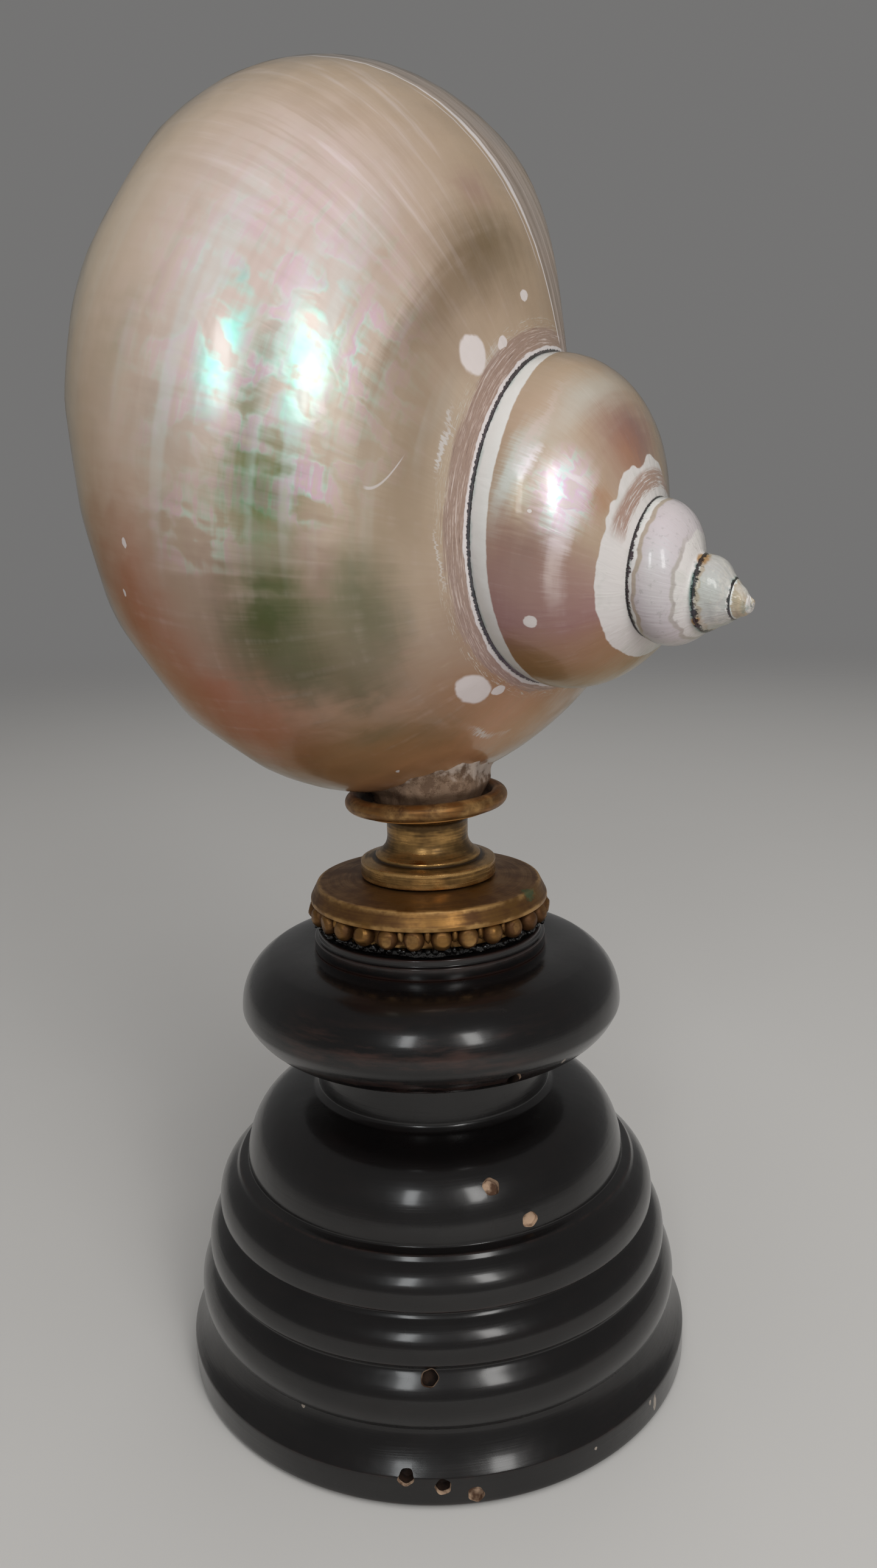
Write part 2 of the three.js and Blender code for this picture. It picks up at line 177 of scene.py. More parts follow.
def grid_surface(grid: np.ndarray, marks: dict[str, np.ndarray]) -> Surface:
    """Closes a grid into a tube: each row joins round on itself, and each end is a fan to its middle.

    Args:
        grid: Points as rows, columns and x, y, z. Rows follow the tube and columns go round it.
        marks: For each mark its values as rows and columns.

    Returns:
        The closed surface.
    """
    rows, columns = grid.shape[:2]
    row, column = np.meshgrid(np.arange(rows - 1), np.arange(columns), indexing="ij")
    beside = (column + 1) % columns
    quads = np.stack([
        row * columns + column, row * columns + beside,
        (row + 1) * columns + beside, (row + 1) * columns + column,
    ], axis=-1).reshape(-1, 4)
    here = np.arange(columns)
    following = (here + 1) % columns
    start, end = rows * columns, rows * columns + 1
    last = (rows - 1) * columns
    fans = np.concatenate([
        np.stack([following, here, np.full(columns, start)], axis=-1),
        np.stack([last + here, last + following, np.full(columns, end)], axis=-1),
    ])
    points = np.concatenate([grid.reshape(-1, 3), grid[:1].mean(axis=1), grid[-1:].mean(axis=1)])
    spread = {
        name: np.concatenate([values.ravel(), [values[0].mean(), values[-1].mean()]])
        for name, values in marks.items()
    }
    return Surface(points, quads, fans, spread)


@dataclass
class Profile:
    """Samples along a turned outline: radius, height and how sharply it turns, per millimetre."""

    radius: np.ndarray
    height: np.ndarray
    curl: np.ndarray


class Outline:
    """A turned outline drawn from the axis outward, up the outside and back to the axis."""

    FINE_STEP = 0.05
    CURVE_STEPS = 24

    def __init__(self, radius: float, height: float) -> None:
        """Starts the outline at a radius and height."""
        self.points = [(radius, height)]

    def line_to(self, radius: float, height: float) -> "Outline":
        """Adds a straight stretch."""
        self.points.append((radius, height))
        return self

    def bow_to(self, radius: float, height: float, bow: float) -> "Outline":
        """Adds a bowed stretch: a quadratic curve whose control point is off the middle by the bow.

        Args:
            radius: Radius at its end.
            height: Height at its end.
            bow: Offset of the control point as a share of the run; positive swells outward.

        Returns:
            The outline itself.
        """
        start = np.array(self.points[-1])
        end = np.array((radius, height))
        run = end - start
        control = (start + end) / 2 + bow * np.array((run[1], -run[0]))
        along = np.linspace(0, 1, self.CURVE_STEPS + 1)[1:, None]
        curve = (1 - along) ** 2 * start + 2 * along * (1 - along) * control + along ** 2 * end
        self.points.extend(map(tuple, curve))
        return self

    def arc(self, radius: float, height: float, size: float, start: float, end: float) -> "Outline":
        """Adds a round stretch.

        Args:
            radius: Radius of the arc's centre.
            height: Height of the arc's centre.
            size: The arc's own radius.
            start: Angle at its start, in degrees from straight out.
            end: Angle at its end.

        Returns:
            The outline itself.
        """
        angle = np.radians(np.linspace(start, end, 2 * self.CURVE_STEPS))
        self.points.extend(zip(radius + size * np.cos(angle), height + size * np.sin(angle)))
        return self

    def sampled(self, softness: float, step: float = 1.6, turning: float = 9.0) -> Profile:
        """Softens the corners and spaces the samples.

        The outline is taken at even fine steps and averaged with a bell curve, which rounds each
        corner. Samples are then even in (length / step + angle turned / turning), so that they
        crowd at the corners.

        Args:
            softness: Width of the bell curve.
            step: Longest distance between samples.
            turning: Most that the outline turns between samples, in degrees.

        Returns:
            The samples.
        """
        corners = np.array(self.points)
        length = np.concatenate([[0], np.cumsum(np.hypot(*np.diff(corners, axis=0).T))])
        count = int(length[-1] / self.FINE_STEP)
        even = np.linspace(0, length[-1], count)
        fine = np.stack([np.interp(even, length, corners[:, axis]) for axis in (0, 1)], axis=-1)
        reach = int(4 * softness / self.FINE_STEP) + 1
        bell = np.exp(-0.5 * (np.arange(-reach, reach + 1) * self.FINE_STEP / softness) ** 2)
        bell /= bell.sum()
        padded = np.pad(fine, ((reach, reach), (0, 0)), mode="reflect", reflect_type="odd")
        soft = np.stack([np.convolve(padded[:, axis], bell, mode="valid") for axis in (0, 1)], axis=-1)
        soft[:, 0] = np.maximum(soft[:, 0], 0)
        heading = np.unwrap(np.arctan2(*np.gradient(soft, axis=0).T[::-1]))
        curl = np.gradient(heading) / self.FINE_STEP
        spread = np.exp(-0.5 * (np.arange(-12, 13) / 5.0) ** 2)
        curl = np.convolve(curl, spread / spread.sum(), mode="same")
        weight = np.cumsum(self.FINE_STEP / step + np.abs(np.gradient(heading)) / math.radians(turning))
        wanted = np.linspace(weight[0], weight[-1], int(weight[-1] - weight[0]) + 2)
        return Profile(*(np.interp(wanted, weight, values) for values in (soft[:, 0], soft[:, 1], curl)))


def turned_surface(profile: Profile, sides: int) -> Surface:
    """Carries a profile round +Z. The first and last samples lie on the axis and become poles.

    A point is (radius cos a, radius sin a, height) for each sample and each angle a. The mark
    "crest" is how sharply the outline bends outward there, and "hollow" how sharply inward.

    Args:
        profile: The outline's samples.
        sides: Number of points round.

    Returns:
        The turned surface.
    """
    angle = 2 * np.pi * np.arange(sides) / sides
    radius = np.maximum(profile.radius[1:-1], 0.02)[:, None]
    height = profile.height[1:-1][:, None] + 0 * angle
    grid = np.stack([radius * np.cos(angle), radius * np.sin(angle), height], axis=-1)
    curl = profile.curl[1:-1][:, None] + 0 * angle
    return grid_surface(grid, {"crest": np.clip(curl, 0, 4), "hollow": np.clip(-curl, 0, 4)})


def lump_surface(centre: np.ndarray, radii: np.ndarray, around: int, rings: int, seed: int,
                 roughness: float) -> Surface:
    """A small uneven ball.

    Each point is centre + radii times the unit sphere, swollen by a sum of two waves whose
    phases come from the seed.

    Args:
        centre: Its middle.
        radii: Half its size along x, y and z.
        around: Points round its equator.
        rings: Rings from pole to pole.
        seed: Seed of the waves.
        roughness: How far the waves swell it, as a share.

    Returns:
        The lump.
    """
    phase = np.random.default_rng(seed).uniform(0, 2 * np.pi, 4)
    tilt = np.pi * (np.arange(rings) + 0.5)[:, None] / rings
    turn = 2 * np.pi * np.arange(around)[None, :] / around
    swell = 1 + roughness * (np.sin(2 * turn + phase[0]) * np.sin(2 * tilt + phase[1])
                             + 0.6 * np.sin(3 * turn + phase[2]) * np.sin(3 * tilt + phase[3]))
    unit = np.stack([np.sin(tilt) * np.cos(turn), np.sin(tilt) * np.sin(turn),
                     -np.cos(tilt) + 0 * turn], axis=-1)
    grid = centre + radii * unit * swell[..., None]
    flat = np.zeros(grid.shape[:2])
    return grid_surface(grid, {"crest": flat + 0.25, "hollow": flat})


# Node tools


@dataclass(frozen=True)
class Signal:
    """A number, colour or vector that varies over the surface: an output socket and its desk."""

    desk: "Desk"
    socket: bpy.types.NodeSocket

    def __add__(self, other: "Signal | float") -> "Signal":
        """The sum."""
        return self.desk.math("ADD", self, other)

    def __radd__(self, other: float) -> "Signal":
        """The sum with a number."""
        return self.desk.math("ADD", other, self)

    def __rmul__(self, other: float) -> "Signal":
        """The product with a number."""
        return self.desk.math("MULTIPLY", other, self)

    def __sub__(self, other: "Signal | float") -> "Signal":
        """The difference."""
        return self.desk.math("SUBTRACT", self, other)

    def __rsub__(self, other: float) -> "Signal":
        """The difference from a number."""
        return self.desk.math("SUBTRACT", other, self)

    def __mul__(self, other: "Signal | float") -> "Signal":
        """The product."""
        return self.desk.math("MULTIPLY", self, other)

    def __truediv__(self, other: "Signal | float") -> "Signal":
        """The quotient."""
        return self.desk.math("DIVIDE", self, other)

    def __abs__(self) -> "Signal":
        """The size without its sign."""
        return self.desk.math("ABSOLUTE", self)

    def most(self, other: "Signal | float") -> "Signal":
        """The larger of the two."""
        return self.desk.math("MAXIMUM", self, other)

    def least(self, other: "Signal | float") -> "Signal":
        """The smaller of the two."""
        return self.desk.math("MINIMUM", self, other)

    def rise(self, low: "Signal | float", high: "Signal | float") -> "Signal":
        """Goes smoothly from 0 at low to 1 at high."""
        node = self.desk.node("ShaderNodeMapRange", interpolation_type="SMOOTHSTEP", clamp=True)
        for name, value in (("Value", self), ("From Min", low), ("From Max", high)):
            self.desk.feed(node.inputs[name], value)
        return Signal(self.desk, node.outputs["Result"])

    def fall(self, low: "Signal | float", high: "Signal | float", start: float = 1.0) -> "Signal":
        """Goes smoothly from the start value at low to 0 at high."""
        node = self.desk.node("ShaderNodeMapRange", interpolation_type="SMOOTHSTEP", clamp=True)
        ends = {"From Min": low, "From Max": high, "To Min": start, "To Max": 0.0}
        for name, value in {"Value": self, **ends}.items():
            self.desk.feed(node.inputs[name], value)
        return Signal(self.desk, node.outputs["Result"])


class Desk:
    """Lays out the nodes of one material or node group."""

    def __init__(self, tree: bpy.types.NodeTree) -> None:
        """Keeps the tree that the nodes go into."""
        self.tree = tree

    def node(self, kind: str, **settings: object) -> bpy.types.Node:
        """Adds a node and sets its options.

        Args:
            kind: The node's type name.
            settings: Its options by name.

        Returns:
            The node.
        """
        made = self.tree.nodes.new(kind)
        for name, value in settings.items():
            setattr(made, name, value)
        return made

    def feed(self, target: bpy.types.NodeSocket, value: object) -> None:
        """Links a signal to a socket, or sets a number or colour on it.

        Args:
            target: The input socket.
            value: A Signal, a number, or a tuple of numbers.
        """
        if isinstance(value, Signal):
            self.tree.links.new(value.socket, target)
        elif isinstance(value, tuple) and len(value) == 3 and len(target.default_value) == 4:
            target.default_value = (*value, 1.0)
        else:
            target.default_value = value

    def math(self, operation: str, *values: "Signal | float") -> Signal:
        """Works out a sum, product or other operation on one to three numbers.

        Args:
            operation: Name of the Math node's operation.
            values: Its inputs.

        Returns:
            The result.
        """
        node = self.node("ShaderNodeMath", operation=operation)
        for target, value in zip(node.inputs, values):
            self.feed(target, value)
        return Signal(self, node.outputs[0])

    def mark(self, name: str) -> Signal:
        """Reads a value that the mesh carries at its points."""
        return Signal(self, self.node("ShaderNodeAttribute", attribute_name=name).outputs["Fac"])

    def place(self) -> Signal:
        """The point's place in millimetres, in the object's own frame."""
        source = self.node("ShaderNodeTexCoord").outputs["Object"]
        scale = self.node("ShaderNodeVectorMath", operation="SCALE")
        self.tree.links.new(source, scale.inputs[0])
        scale.inputs["Scale"].default_value = 1 / MM
        return Signal(self, scale.outputs[0])

    def split(self, vector: Signal) -> tuple[Signal, Signal, Signal]:
        """The three parts of a vector."""
        node = self.node("ShaderNodeSeparateXYZ")
        self.feed(node.inputs[0], vector)
        return tuple(Signal(self, output) for output in node.outputs)

    def vector(self, x: "Signal | float", y: "Signal | float", z: "Signal | float") -> Signal:
        """A vector of three parts."""
        node = self.node("ShaderNodeCombineXYZ")
        for target, value in zip(node.inputs, (x, y, z)):
            self.feed(target, value)
        return Signal(self, node.outputs[0])

    def noise(self, vector: Signal, scale: "float | Signal", detail: float = 2.0, roughness: float = 0.5,
              distortion: float = 0.0) -> Signal:
        """Cloudy noise between 0 and 1 with a mean of one half.

        Args:
            vector: Where it is read.
            scale: Features per unit of the vector.
            detail: Number of finer layers.
            roughness: Strength of the finer layers.
            distortion: How far it is stirred.

        Returns:
            The noise.
        """
        node = self.node("ShaderNodeTexNoise", normalize=True)
        values = {"Vector": vector, "Scale": scale, "Detail": detail, "Roughness": roughness,
                  "Distortion": distortion}
        for name, value in values.items():
            self.feed(node.inputs[name], value)
        return Signal(self, node.outputs["Fac"])

    def cells(self, vector: Signal, scale: "float | Signal") -> tuple[Signal, Signal]:
        """Scattered points: the distance to the nearest, and a random number that it carries."""
        node = self.node("ShaderNodeTexVoronoi", feature="F1")
        self.feed(node.inputs["Vector"], vector)
        self.feed(node.inputs["Scale"], scale)
        red, _, _ = self.split(Signal(self, node.outputs["Color"]))
        return Signal(self, node.outputs["Distance"]), red

    def mix(self, share: "Signal | float", first: object, second: object, blend: str = "MIX") -> Signal:
        """Mixes two colours.

        Args:
            share: How much of the second shows.
            first: A colour signal or linear colour.
            second: The same, laid over the first.
            blend: Name of the blend.

        Returns:
            The mixed colour.
        """
        node = self.node("ShaderNodeMix", data_type="RGBA", blend_type=blend, clamp_factor=True)
        for index, value in ((0, share), (6, first), (7, second)):
            self.feed(node.inputs[index], value)
        return Signal(self, node.outputs[2])

    def ramp(self, value: Signal, stops: list[tuple[float, tuple[float, float, float]]]) -> Signal:
        """A colour that depends on a number, straight between its stops.

        Args:
            value: The number.
            stops: Pairs of number and linear colour, from low to high.

        Returns:
            The colour.
        """
        low, high = stops[0][0], stops[-1][0]
        share = (value - low) * (1 / (high - low))
        node = self.node("ShaderNodeValToRGB")
        self.feed(node.inputs[0], share)
        elements = node.color_ramp.elements
        while len(elements) < len(stops):
            elements.new(0.5)
        for element, (position, colour) in zip(elements, stops):
            element.position = (position - low) / (high - low)
            element.color = (*colour, 1.0)
        return Signal(self, node.outputs["Color"])

    def curve(self, value: Signal, stops: list[tuple[float, float]]) -> Signal:
        """A number that depends on another, straight between its stops; values are 0 or more."""
        top = max(number for _, number in stops)
        colour = self.ramp(value, [(position, (number / top,) * 3) for position, number in stops])
        return colour * top

    def group(self, tree: bpy.types.NodeTree, **values: object) -> dict[str, Signal]:
        """Places a node group.

        Args:
            tree: The group.
            values: Its inputs by name.

        Returns:
            Its outputs by name.
        """
        node = self.node("ShaderNodeGroup", node_tree=tree)
        for name, value in values.items():
            self.feed(node.inputs[name], value)
        return {output.name: Signal(self, output) for output in node.outputs}

    def bump(self, height: Signal, distance: float, after: "Signal | None" = None) -> Signal:
        """A normal that leans with a height.

        Args:
            height: The height, as a share of the distance.
            distance: Height of a full rise, in millimetres.
            after: A normal that it is laid over.

        Returns:
            The normal.
        """
        node = self.node("ShaderNodeBump")
        node.inputs["Strength"].default_value = 1.0
        node.inputs["Distance"].default_value = distance * MM
        self.feed(node.inputs["Height"], height)
        if after is not None:
            self.feed(node.inputs["Normal"], after)
        return Signal(self, node.outputs["Normal"])

    def shader(self, **values: object) -> None:
        """Adds the material's shader and output, and feeds the shader's sockets.

        Args:
            values: The shader's inputs, with _ for each space in their names.
        """
        node = self.node("ShaderNodeBsdfPrincipled")
        output = self.node("ShaderNodeOutputMaterial")
        self.tree.links.new(node.outputs[0], output.inputs["Surface"])
        for name, value in values.items():
            self.feed(node.inputs[name.replace("_", " ")], value)


def new_material(name: str) -> tuple[bpy.types.Material, Desk]:
    """Starts an empty node material.

    Args:
        name: Its name.

    Returns:
        The material and the desk of its nodes.
    """
    material = bpy.data.materials.new(name)
    material.use_nodes = True
    material.node_tree.nodes.clear()
    return material, Desk(material.node_tree)


def new_group(name: str, inputs: dict[str, float], outputs: tuple[str, ...]) -> tuple[Desk, dict, dict]:
    """Starts a node group that reads a vector and some numbers and puts out numbers.

    Args:
        name: Its name.
        inputs: Its number inputs with their usual values. A "Vector" input comes first.
        outputs: Names of its outputs.

    Returns:
        Its desk, its inputs as signals by name, and its output sockets by name.
    """
    tree = bpy.data.node_groups.new(name, "ShaderNodeTree")
    tree.interface.new_socket(name="Vector", in_out="INPUT", socket_type="NodeSocketVector")
    for label, usual in inputs.items():
        made = tree.interface.new_socket(name=label, in_out="INPUT", socket_type="NodeSocketFloat")
        made.default_value = usual
    for label in outputs:
        tree.interface.new_socket(name=label, in_out="OUTPUT", socket_type="NodeSocketFloat")
    desk = Desk(tree)
    source, sink = desk.node("NodeGroupInput"), desk.node("NodeGroupOutput")
    signals = {output.name: Signal(desk, output) for output in source.outputs if output.name}
    return desk, signals, {target.name: target for target in sink.inputs if target.name}


@cache
def lathe_lines() -> bpy.types.NodeTree:
    """Fine lines round +Z, as a cutting tool or a polishing cloth leaves them.

    The noise is read at (radius, height) times Fineness, plus a slow drift with the direction
    from the axis, so that the lines fade in and out as they go round.

    Returns:
        The group: Vector, Fineness and Drift in, Lines out.
    """
    desk, given, wanted = new_group("lathe_lines", {"Fineness": 3.0, "Drift": 1.0}, ("Lines",))
    x, y, z = desk.split(given["Vector"])
    radius = desk.math("SQRT", x * x + y * y).most(0.5)
    where = desk.vector(
        radius * given["Fineness"] + x / radius * given["Drift"],
        z * given["Fineness"],
        y / radius * given["Drift"],
    )
    desk.feed(wanted["Lines"], desk.noise(where, 1.0, 3.0, 0.6))
    return desk.tree


@cache
def edge_wear() -> bpy.types.NodeTree:
    """Wear that starts on crests and breaks up into patches.

    Returns:
        The group: Vector, Crest, Patch (size of the patches) and Reach in, Worn out.
    """
    desk, given, wanted = new_group("edge_wear", {"Crest": 0.0, "Patch": 2.0, "Reach": 0.5}, ("Worn",))
    breaks = desk.noise(given["Vector"], desk.math("DIVIDE", 1.0, given["Patch"]), 4.0, 0.65)
    scaled = given["Crest"] * given["Reach"]
    desk.feed(wanted["Worn"], (scaled * breaks * 2.0).rise(0.35, 0.9))
    return desk.tree


@cache
def dust_specks() -> bpy.types.NodeTree:
    """Scattered specks of dust and small nicks.

    Each speck is a point of a cell pattern that is kept where its random number is above
    1 - Share, and its size follows the same number.

    Returns:
        The group: Vector, Spacing, Share and Size in, Specks out.
    """
    desk, given, wanted = new_group("dust_specks", {"Spacing": 1.5, "Share": 0.1, "Size": 0.2}, ("Specks",))
    distance, number = desk.cells(given["Vector"], desk.math("DIVIDE", 1.0, given["Spacing"]))
    kept = (number - (1.0 - given["Share"])) / given["Share"]
    size = given["Size"] * kept.most(0.0)
    desk.feed(wanted["Specks"], desk.math("SUBTRACT", size, distance).rise(0.0, 0.06))
    return desk.tree


@cache
def fine_pits() -> bpy.types.NodeTree:
    """Two sizes of soft mottling, for tone and for roughness.

    Returns:
        The group: Vector and Spacing in, Cloud (broad) and Grain (fine) out.
    """
    desk, given, wanted = new_group("fine_pits", {"Spacing": 4.0}, ("Cloud", "Grain"))
    scale = desk.math("DIVIDE", 1.0, given["Spacing"])
    desk.feed(wanted["Cloud"], desk.noise(given["Vector"], scale, 3.0, 0.55))
    desk.feed(wanted["Grain"], desk.noise(given["Vector"], scale * 9.0, 3.0, 0.6))
    return desk.tree


# Finishes


@dataclass(frozen=True)
class Patch:
    """A cloud of colour on the nacre, placed by turn and by distance from the suture."""

    turn: float
    seam: float
    half_turn: float
    half_width: float
    colour: Pearl
    strength: float
    blur: float = 0.6


@dataclass(frozen=True)
class Blot:
    """A sharp-edged spot where the white layer still covers the nacre."""

    turn: float
    seam: float
    half_turn: float
    half_width: float


@dataclass(frozen=True)
class NacreFinish:
    """Polished nacre with what is left of the white and the dark layers along its sutures, and with painted
    highlights, painted window reflections and painted shade toward its bottom.
    """

    # Ground colours by turn. Toward the bottom of the last two whorls they grow darker and browner: the nacre's own
    # orange-brown together with painted shade.
    ground: tuple[tuple[float, Pearl], ...] = (
        (-1710, Pearl.BONE), (-1420, Pearl.BONE), (-1360, Pearl.CHALK), (-1000, Pearl.CHALK),
        (-900, Pearl.LILAC), (-600, Pearl.LILAC), (-520, Pearl.CHAMPAGNE), (-455, Pearl.TAN),
        (-412, Pearl.TAN), (-385, Pearl.ROSEWOOD), (-350, Pearl.CHAMPAGNE), (-310, Pearl.CHAMPAGNE),
        (-262, Pearl.FAWN), (-190, Pearl.CHAMPAGNE), (-125, Pearl.AMBER), (-84, Pearl.UMBER),
        (-58, Pearl.TAN), (-34, Pearl.FAWN), (-8, Pearl.CHAMPAGNE), (22, Pearl.CREAM),
        (60, Pearl.CHAMPAGNE), (100, Pearl.FAWN),
    )
    patches: tuple[Patch, ...] = (
        # The first three patches paint a broad pearly sheen over the upper front: a painted highlight.
        Patch(26, 28, 34, 17, Pearl.PETAL, 0.72, 1.3),
        Patch(40, 30, 16, 11, Pearl.PETAL, 0.5, 1.2),
        Patch(8, 28, 14, 8, Pearl.PETAL, 0.4, 1.2),
        # The next three patches darken the left silhouette and the lower left: painted shade, with the nacre's own
        # salmon-brown.
        Patch(-2, 44, 30, 5, Pearl.CHAMPAGNE, 0.5, 1.0),
        Patch(-27, 40, 18, 7, Pearl.SALMON, 0.95, 1.1),
        Patch(-46, 33, 18, 10, Pearl.SALMON, 1.0, 1.1),
        Patch(-62, 12, 9, 4, Pearl.SLATE, 0.35, 1.2),
        Patch(20, 8, 34, 4, Pearl.FAWN, 0.6, 1.2),
        Patch(12, 8.5, 58, 5.0, Pearl.OLIVE, 0.42, 1.2),
        Patch(-32, 9, 18, 6.0, Pearl.OLIVE, 0.25, 1.2),
        Patch(30, 13.2, 34, 1.5, Pearl.OLIVE, 0.35, 1.2),
        Patch(14, 25.0, 12, 1.7, Pearl.SLATE, 0.6, 1.0),
        Patch(-24, 7, 22, 4, Pearl.CHAMPAGNE, 0.6, 1.2),
        Patch(3, 34, 8, 4, Pearl.SLATE, 0.25, 1.2),
        Patch(-8, 30, 8, 5, Pearl.CREAM, 0.15, 1.2),
        Patch(-17, 31.4, 14, 4.8, Pearl.OLIVE, 0.5, 1.2),
        Patch(-29, 28.5, 7, 3.6, Pearl.OLIVE, 0.35, 1.2),
        Patch(43, 18.5, 10, 4, Pearl.FAWN, 0.4, 1.2),
        # Down to the second SLATE patch, the greens are partly the nacre's own green and partly a painted reflection
        # of greenery.
        Patch(12, 41, 7, 2.6, Pearl.LEAF, 0.22, 1.2),
        Patch(-3, 22.8, 9.0, 4.6, Pearl.LEAF, 0.95, 1.0),
        Patch(4, 25.0, 5.0, 2.6, Pearl.LEAF, 0.6, 1.1),
        Patch(-24, 20.0, 17, 9.0, Pearl.OLIVE, 0.45, 1.2),
        Patch(-23, 22.8, 14, 6.2, Pearl.MOSS, 1.0, 0.9),
        Patch(-35, 20.5, 8, 6.5, Pearl.MOSS, 0.75, 1.0),
        Patch(-41, 15.5, 6.0, 3.0, Pearl.MOSS, 0.6, 1.1),
        Patch(-23, 12.8, 15, 4.8, Pearl.SLATE, 0.85, 1.0),
        Patch(-38, 13.0, 10, 3.6, Pearl.SLATE, 0.4, 1.2),
        Patch(-13, 17.2, 6, 2.2, Pearl.ROSEWOOD, 0.5, 1.2),
        Patch(-16, 28, 7, 2.6, Pearl.ROSEWOOD, 0.35, 1.2),
        Patch(-54, 16.5, 5, 3.2, Pearl.SLATE, 0.5, 1.2),
        # The patches at turns 33 and 42 darken a band below the suture along the shoulder: a painted shadow line.
        Patch(33, 12.2, 22, 2.2, Pearl.FAWN, 0.55, 1.2),
        Patch(66, 13.0, 17, 5.0, Pearl.OLIVE, 1.0, 1.1),
        Patch(42, 11.6, 20, 2.8, Pearl.OLIVE, 0.75, 1.2),
        Patch(72, 19.5, 6, 2.4, Pearl.ROSEWOOD, 0.5, 1.2),
        Patch(20, 4.6, 9, 0.34, Pearl.WHITE, 0.8, 0.6),
        Patch(50, 3.3, 7, 0.8, Pearl.WHITE, 0.5, 0.9),
        Patch(-9, 4.0, 8, 0.22, Pearl.WHITE, 0.6, 0.8),
        # The next four patches paint the highlight on the penultimate whorl: a painted highlight.
        Patch(-336, 16.0, 20, 1.6, Pearl.ICE, 0.7, 1.0),
        Patch(-338, 9.6, 17, 3.4, Pearl.PEARL, 0.95, 0.9),
        Patch(-334, 14.7, 8, 1.0, Pearl.PEARL, 0.85, 0.9),
        Patch(-352, 8.9, 14, 1.7, Pearl.PEARL, 0.8, 0.8),
        Patch(-322, 16.0, 20, 0.5, Pearl.PETAL, 0.6, 0.9),
        Patch(-290, 7.2, 24, 5.0, Pearl.ROSEWOOD, 1.0, 1.1),
        Patch(-283, 7.4, 15, 3.6, Pearl.MAUVE, 0.7, 1.2),
        Patch(-296, 6.0, 14, 3.0, Pearl.UMBER, 0.5, 1.2),
        Patch(-370, 14.0, 22, 4.6, Pearl.ROSEWOOD, 0.7, 1.2),
        Patch(-300, 14.0, 26, 2.4, Pearl.ICE, 0.35, 1.2),
        Patch(-345, 18.6, 34, 1.6, Pearl.FAWN, 0.6, 1.1),
        Patch(-374, 9.8, 20, 5.2, Pearl.ROSEWOOD, 0.95, 1.2),
        Patch(-330, 5.8, 10, 1.4, Pearl.AMBER, 0.55, 1.0),
        Patch(-411, 12, 14, 4.0, Pearl.TAN, 0.6, 1.2),
        Patch(-312, 17, 22, 3.0, Pearl.CHAMPAGNE, 0.5, 1.2),
        Patch(-98, 15.4, 4.5, 1.3, Pearl.WHITE, 0.45, 1.0),
        Patch(-80, 9.0, 8, 0.45, Pearl.WHITE, 0.75, 0.9),
        # A pale column that is part of the painted highlight on the penultimate whorl.
        Patch(-366, 8.8, 16, 1.3, Pearl.PETAL, 0.6, 1.0),
        Patch(-360, 12.4, 12, 2.6, Pearl.MAUVE, 0.45, 1.2),
    )
    blots: tuple[Blot, ...] = (
        Blot(45.5, 5.4, 5.2, 2.0), Blot(58, 3.5, 2.6, 0.6), Blot(76, 6.9, 1.9, 0.6),
        Blot(-58, 4.9, 7.4, 1.9), Blot(-66, 3.1, 2.6, 0.8), Blot(-388, 11.4, 2.8, 0.75),
        Blot(-14, 38.3, 0.6, 0.35), Blot(-22, 40.0, 0.5, 0.3), Blot(-71, 19.2, 0.7, 0.3),
        Blot(-348, 12.8, 0.7, 0.25),
    )

    def material(self) -> bpy.types.Material:
        """Builds the nacre.

        Returns:
            The material.
        """
        material, desk = new_material("nacre")
        turn, seam, edge = desk.mark("turn_deg"), desk.mark("seam_mm"), desk.mark("edge_mm")
        place = desk.place()
        stir = desk.noise(place, 0.16, 3.0, 0.55) - 0.5
        growth = desk.noise(desk.vector(turn * 0.55, seam * 0.07, 0.0), 1.0, 2.0, 0.5) - 0.5
        threads = desk.noise(desk.vector(turn * 1.7, seam * 0.16, 9.0), 1.0, 2.0, 0.5) - 0.5
        spiral = desk.noise(desk.vector(turn * 0.03, seam * 0.7, 3.0), 1.0, 3.0, 0.55) - 0.5
        flakes = desk.noise(desk.vector(turn * 0.2, seam * 0.26, 5.0), 1.0, 2.0, 0.5, 0.6) - 0.5

        colour = desk.ramp(turn + stir * 24.0, [(at, linear(tint.value)) for at, tint in self.ground])
        warped = desk.vector(
            turn + growth * 7.0 + stir * 12.0 + flakes * 9.0, seam + spiral * 2.2 + stir * 3.0 + threads * 1.6, 0.0,
        )
        for patch in self.patches:
            mask = self.ellipse(desk, warped, patch, patch.blur, patch.strength)
            colour = desk.mix(mask, colour, linear(patch.colour.value))
        # Painted reflections: aqua window bands and iridescent tints where the highlights fall.
        colour, reflection_strips = self.with_painted_reflections(desk, colour, turn, seam, growth, spiral, flakes)
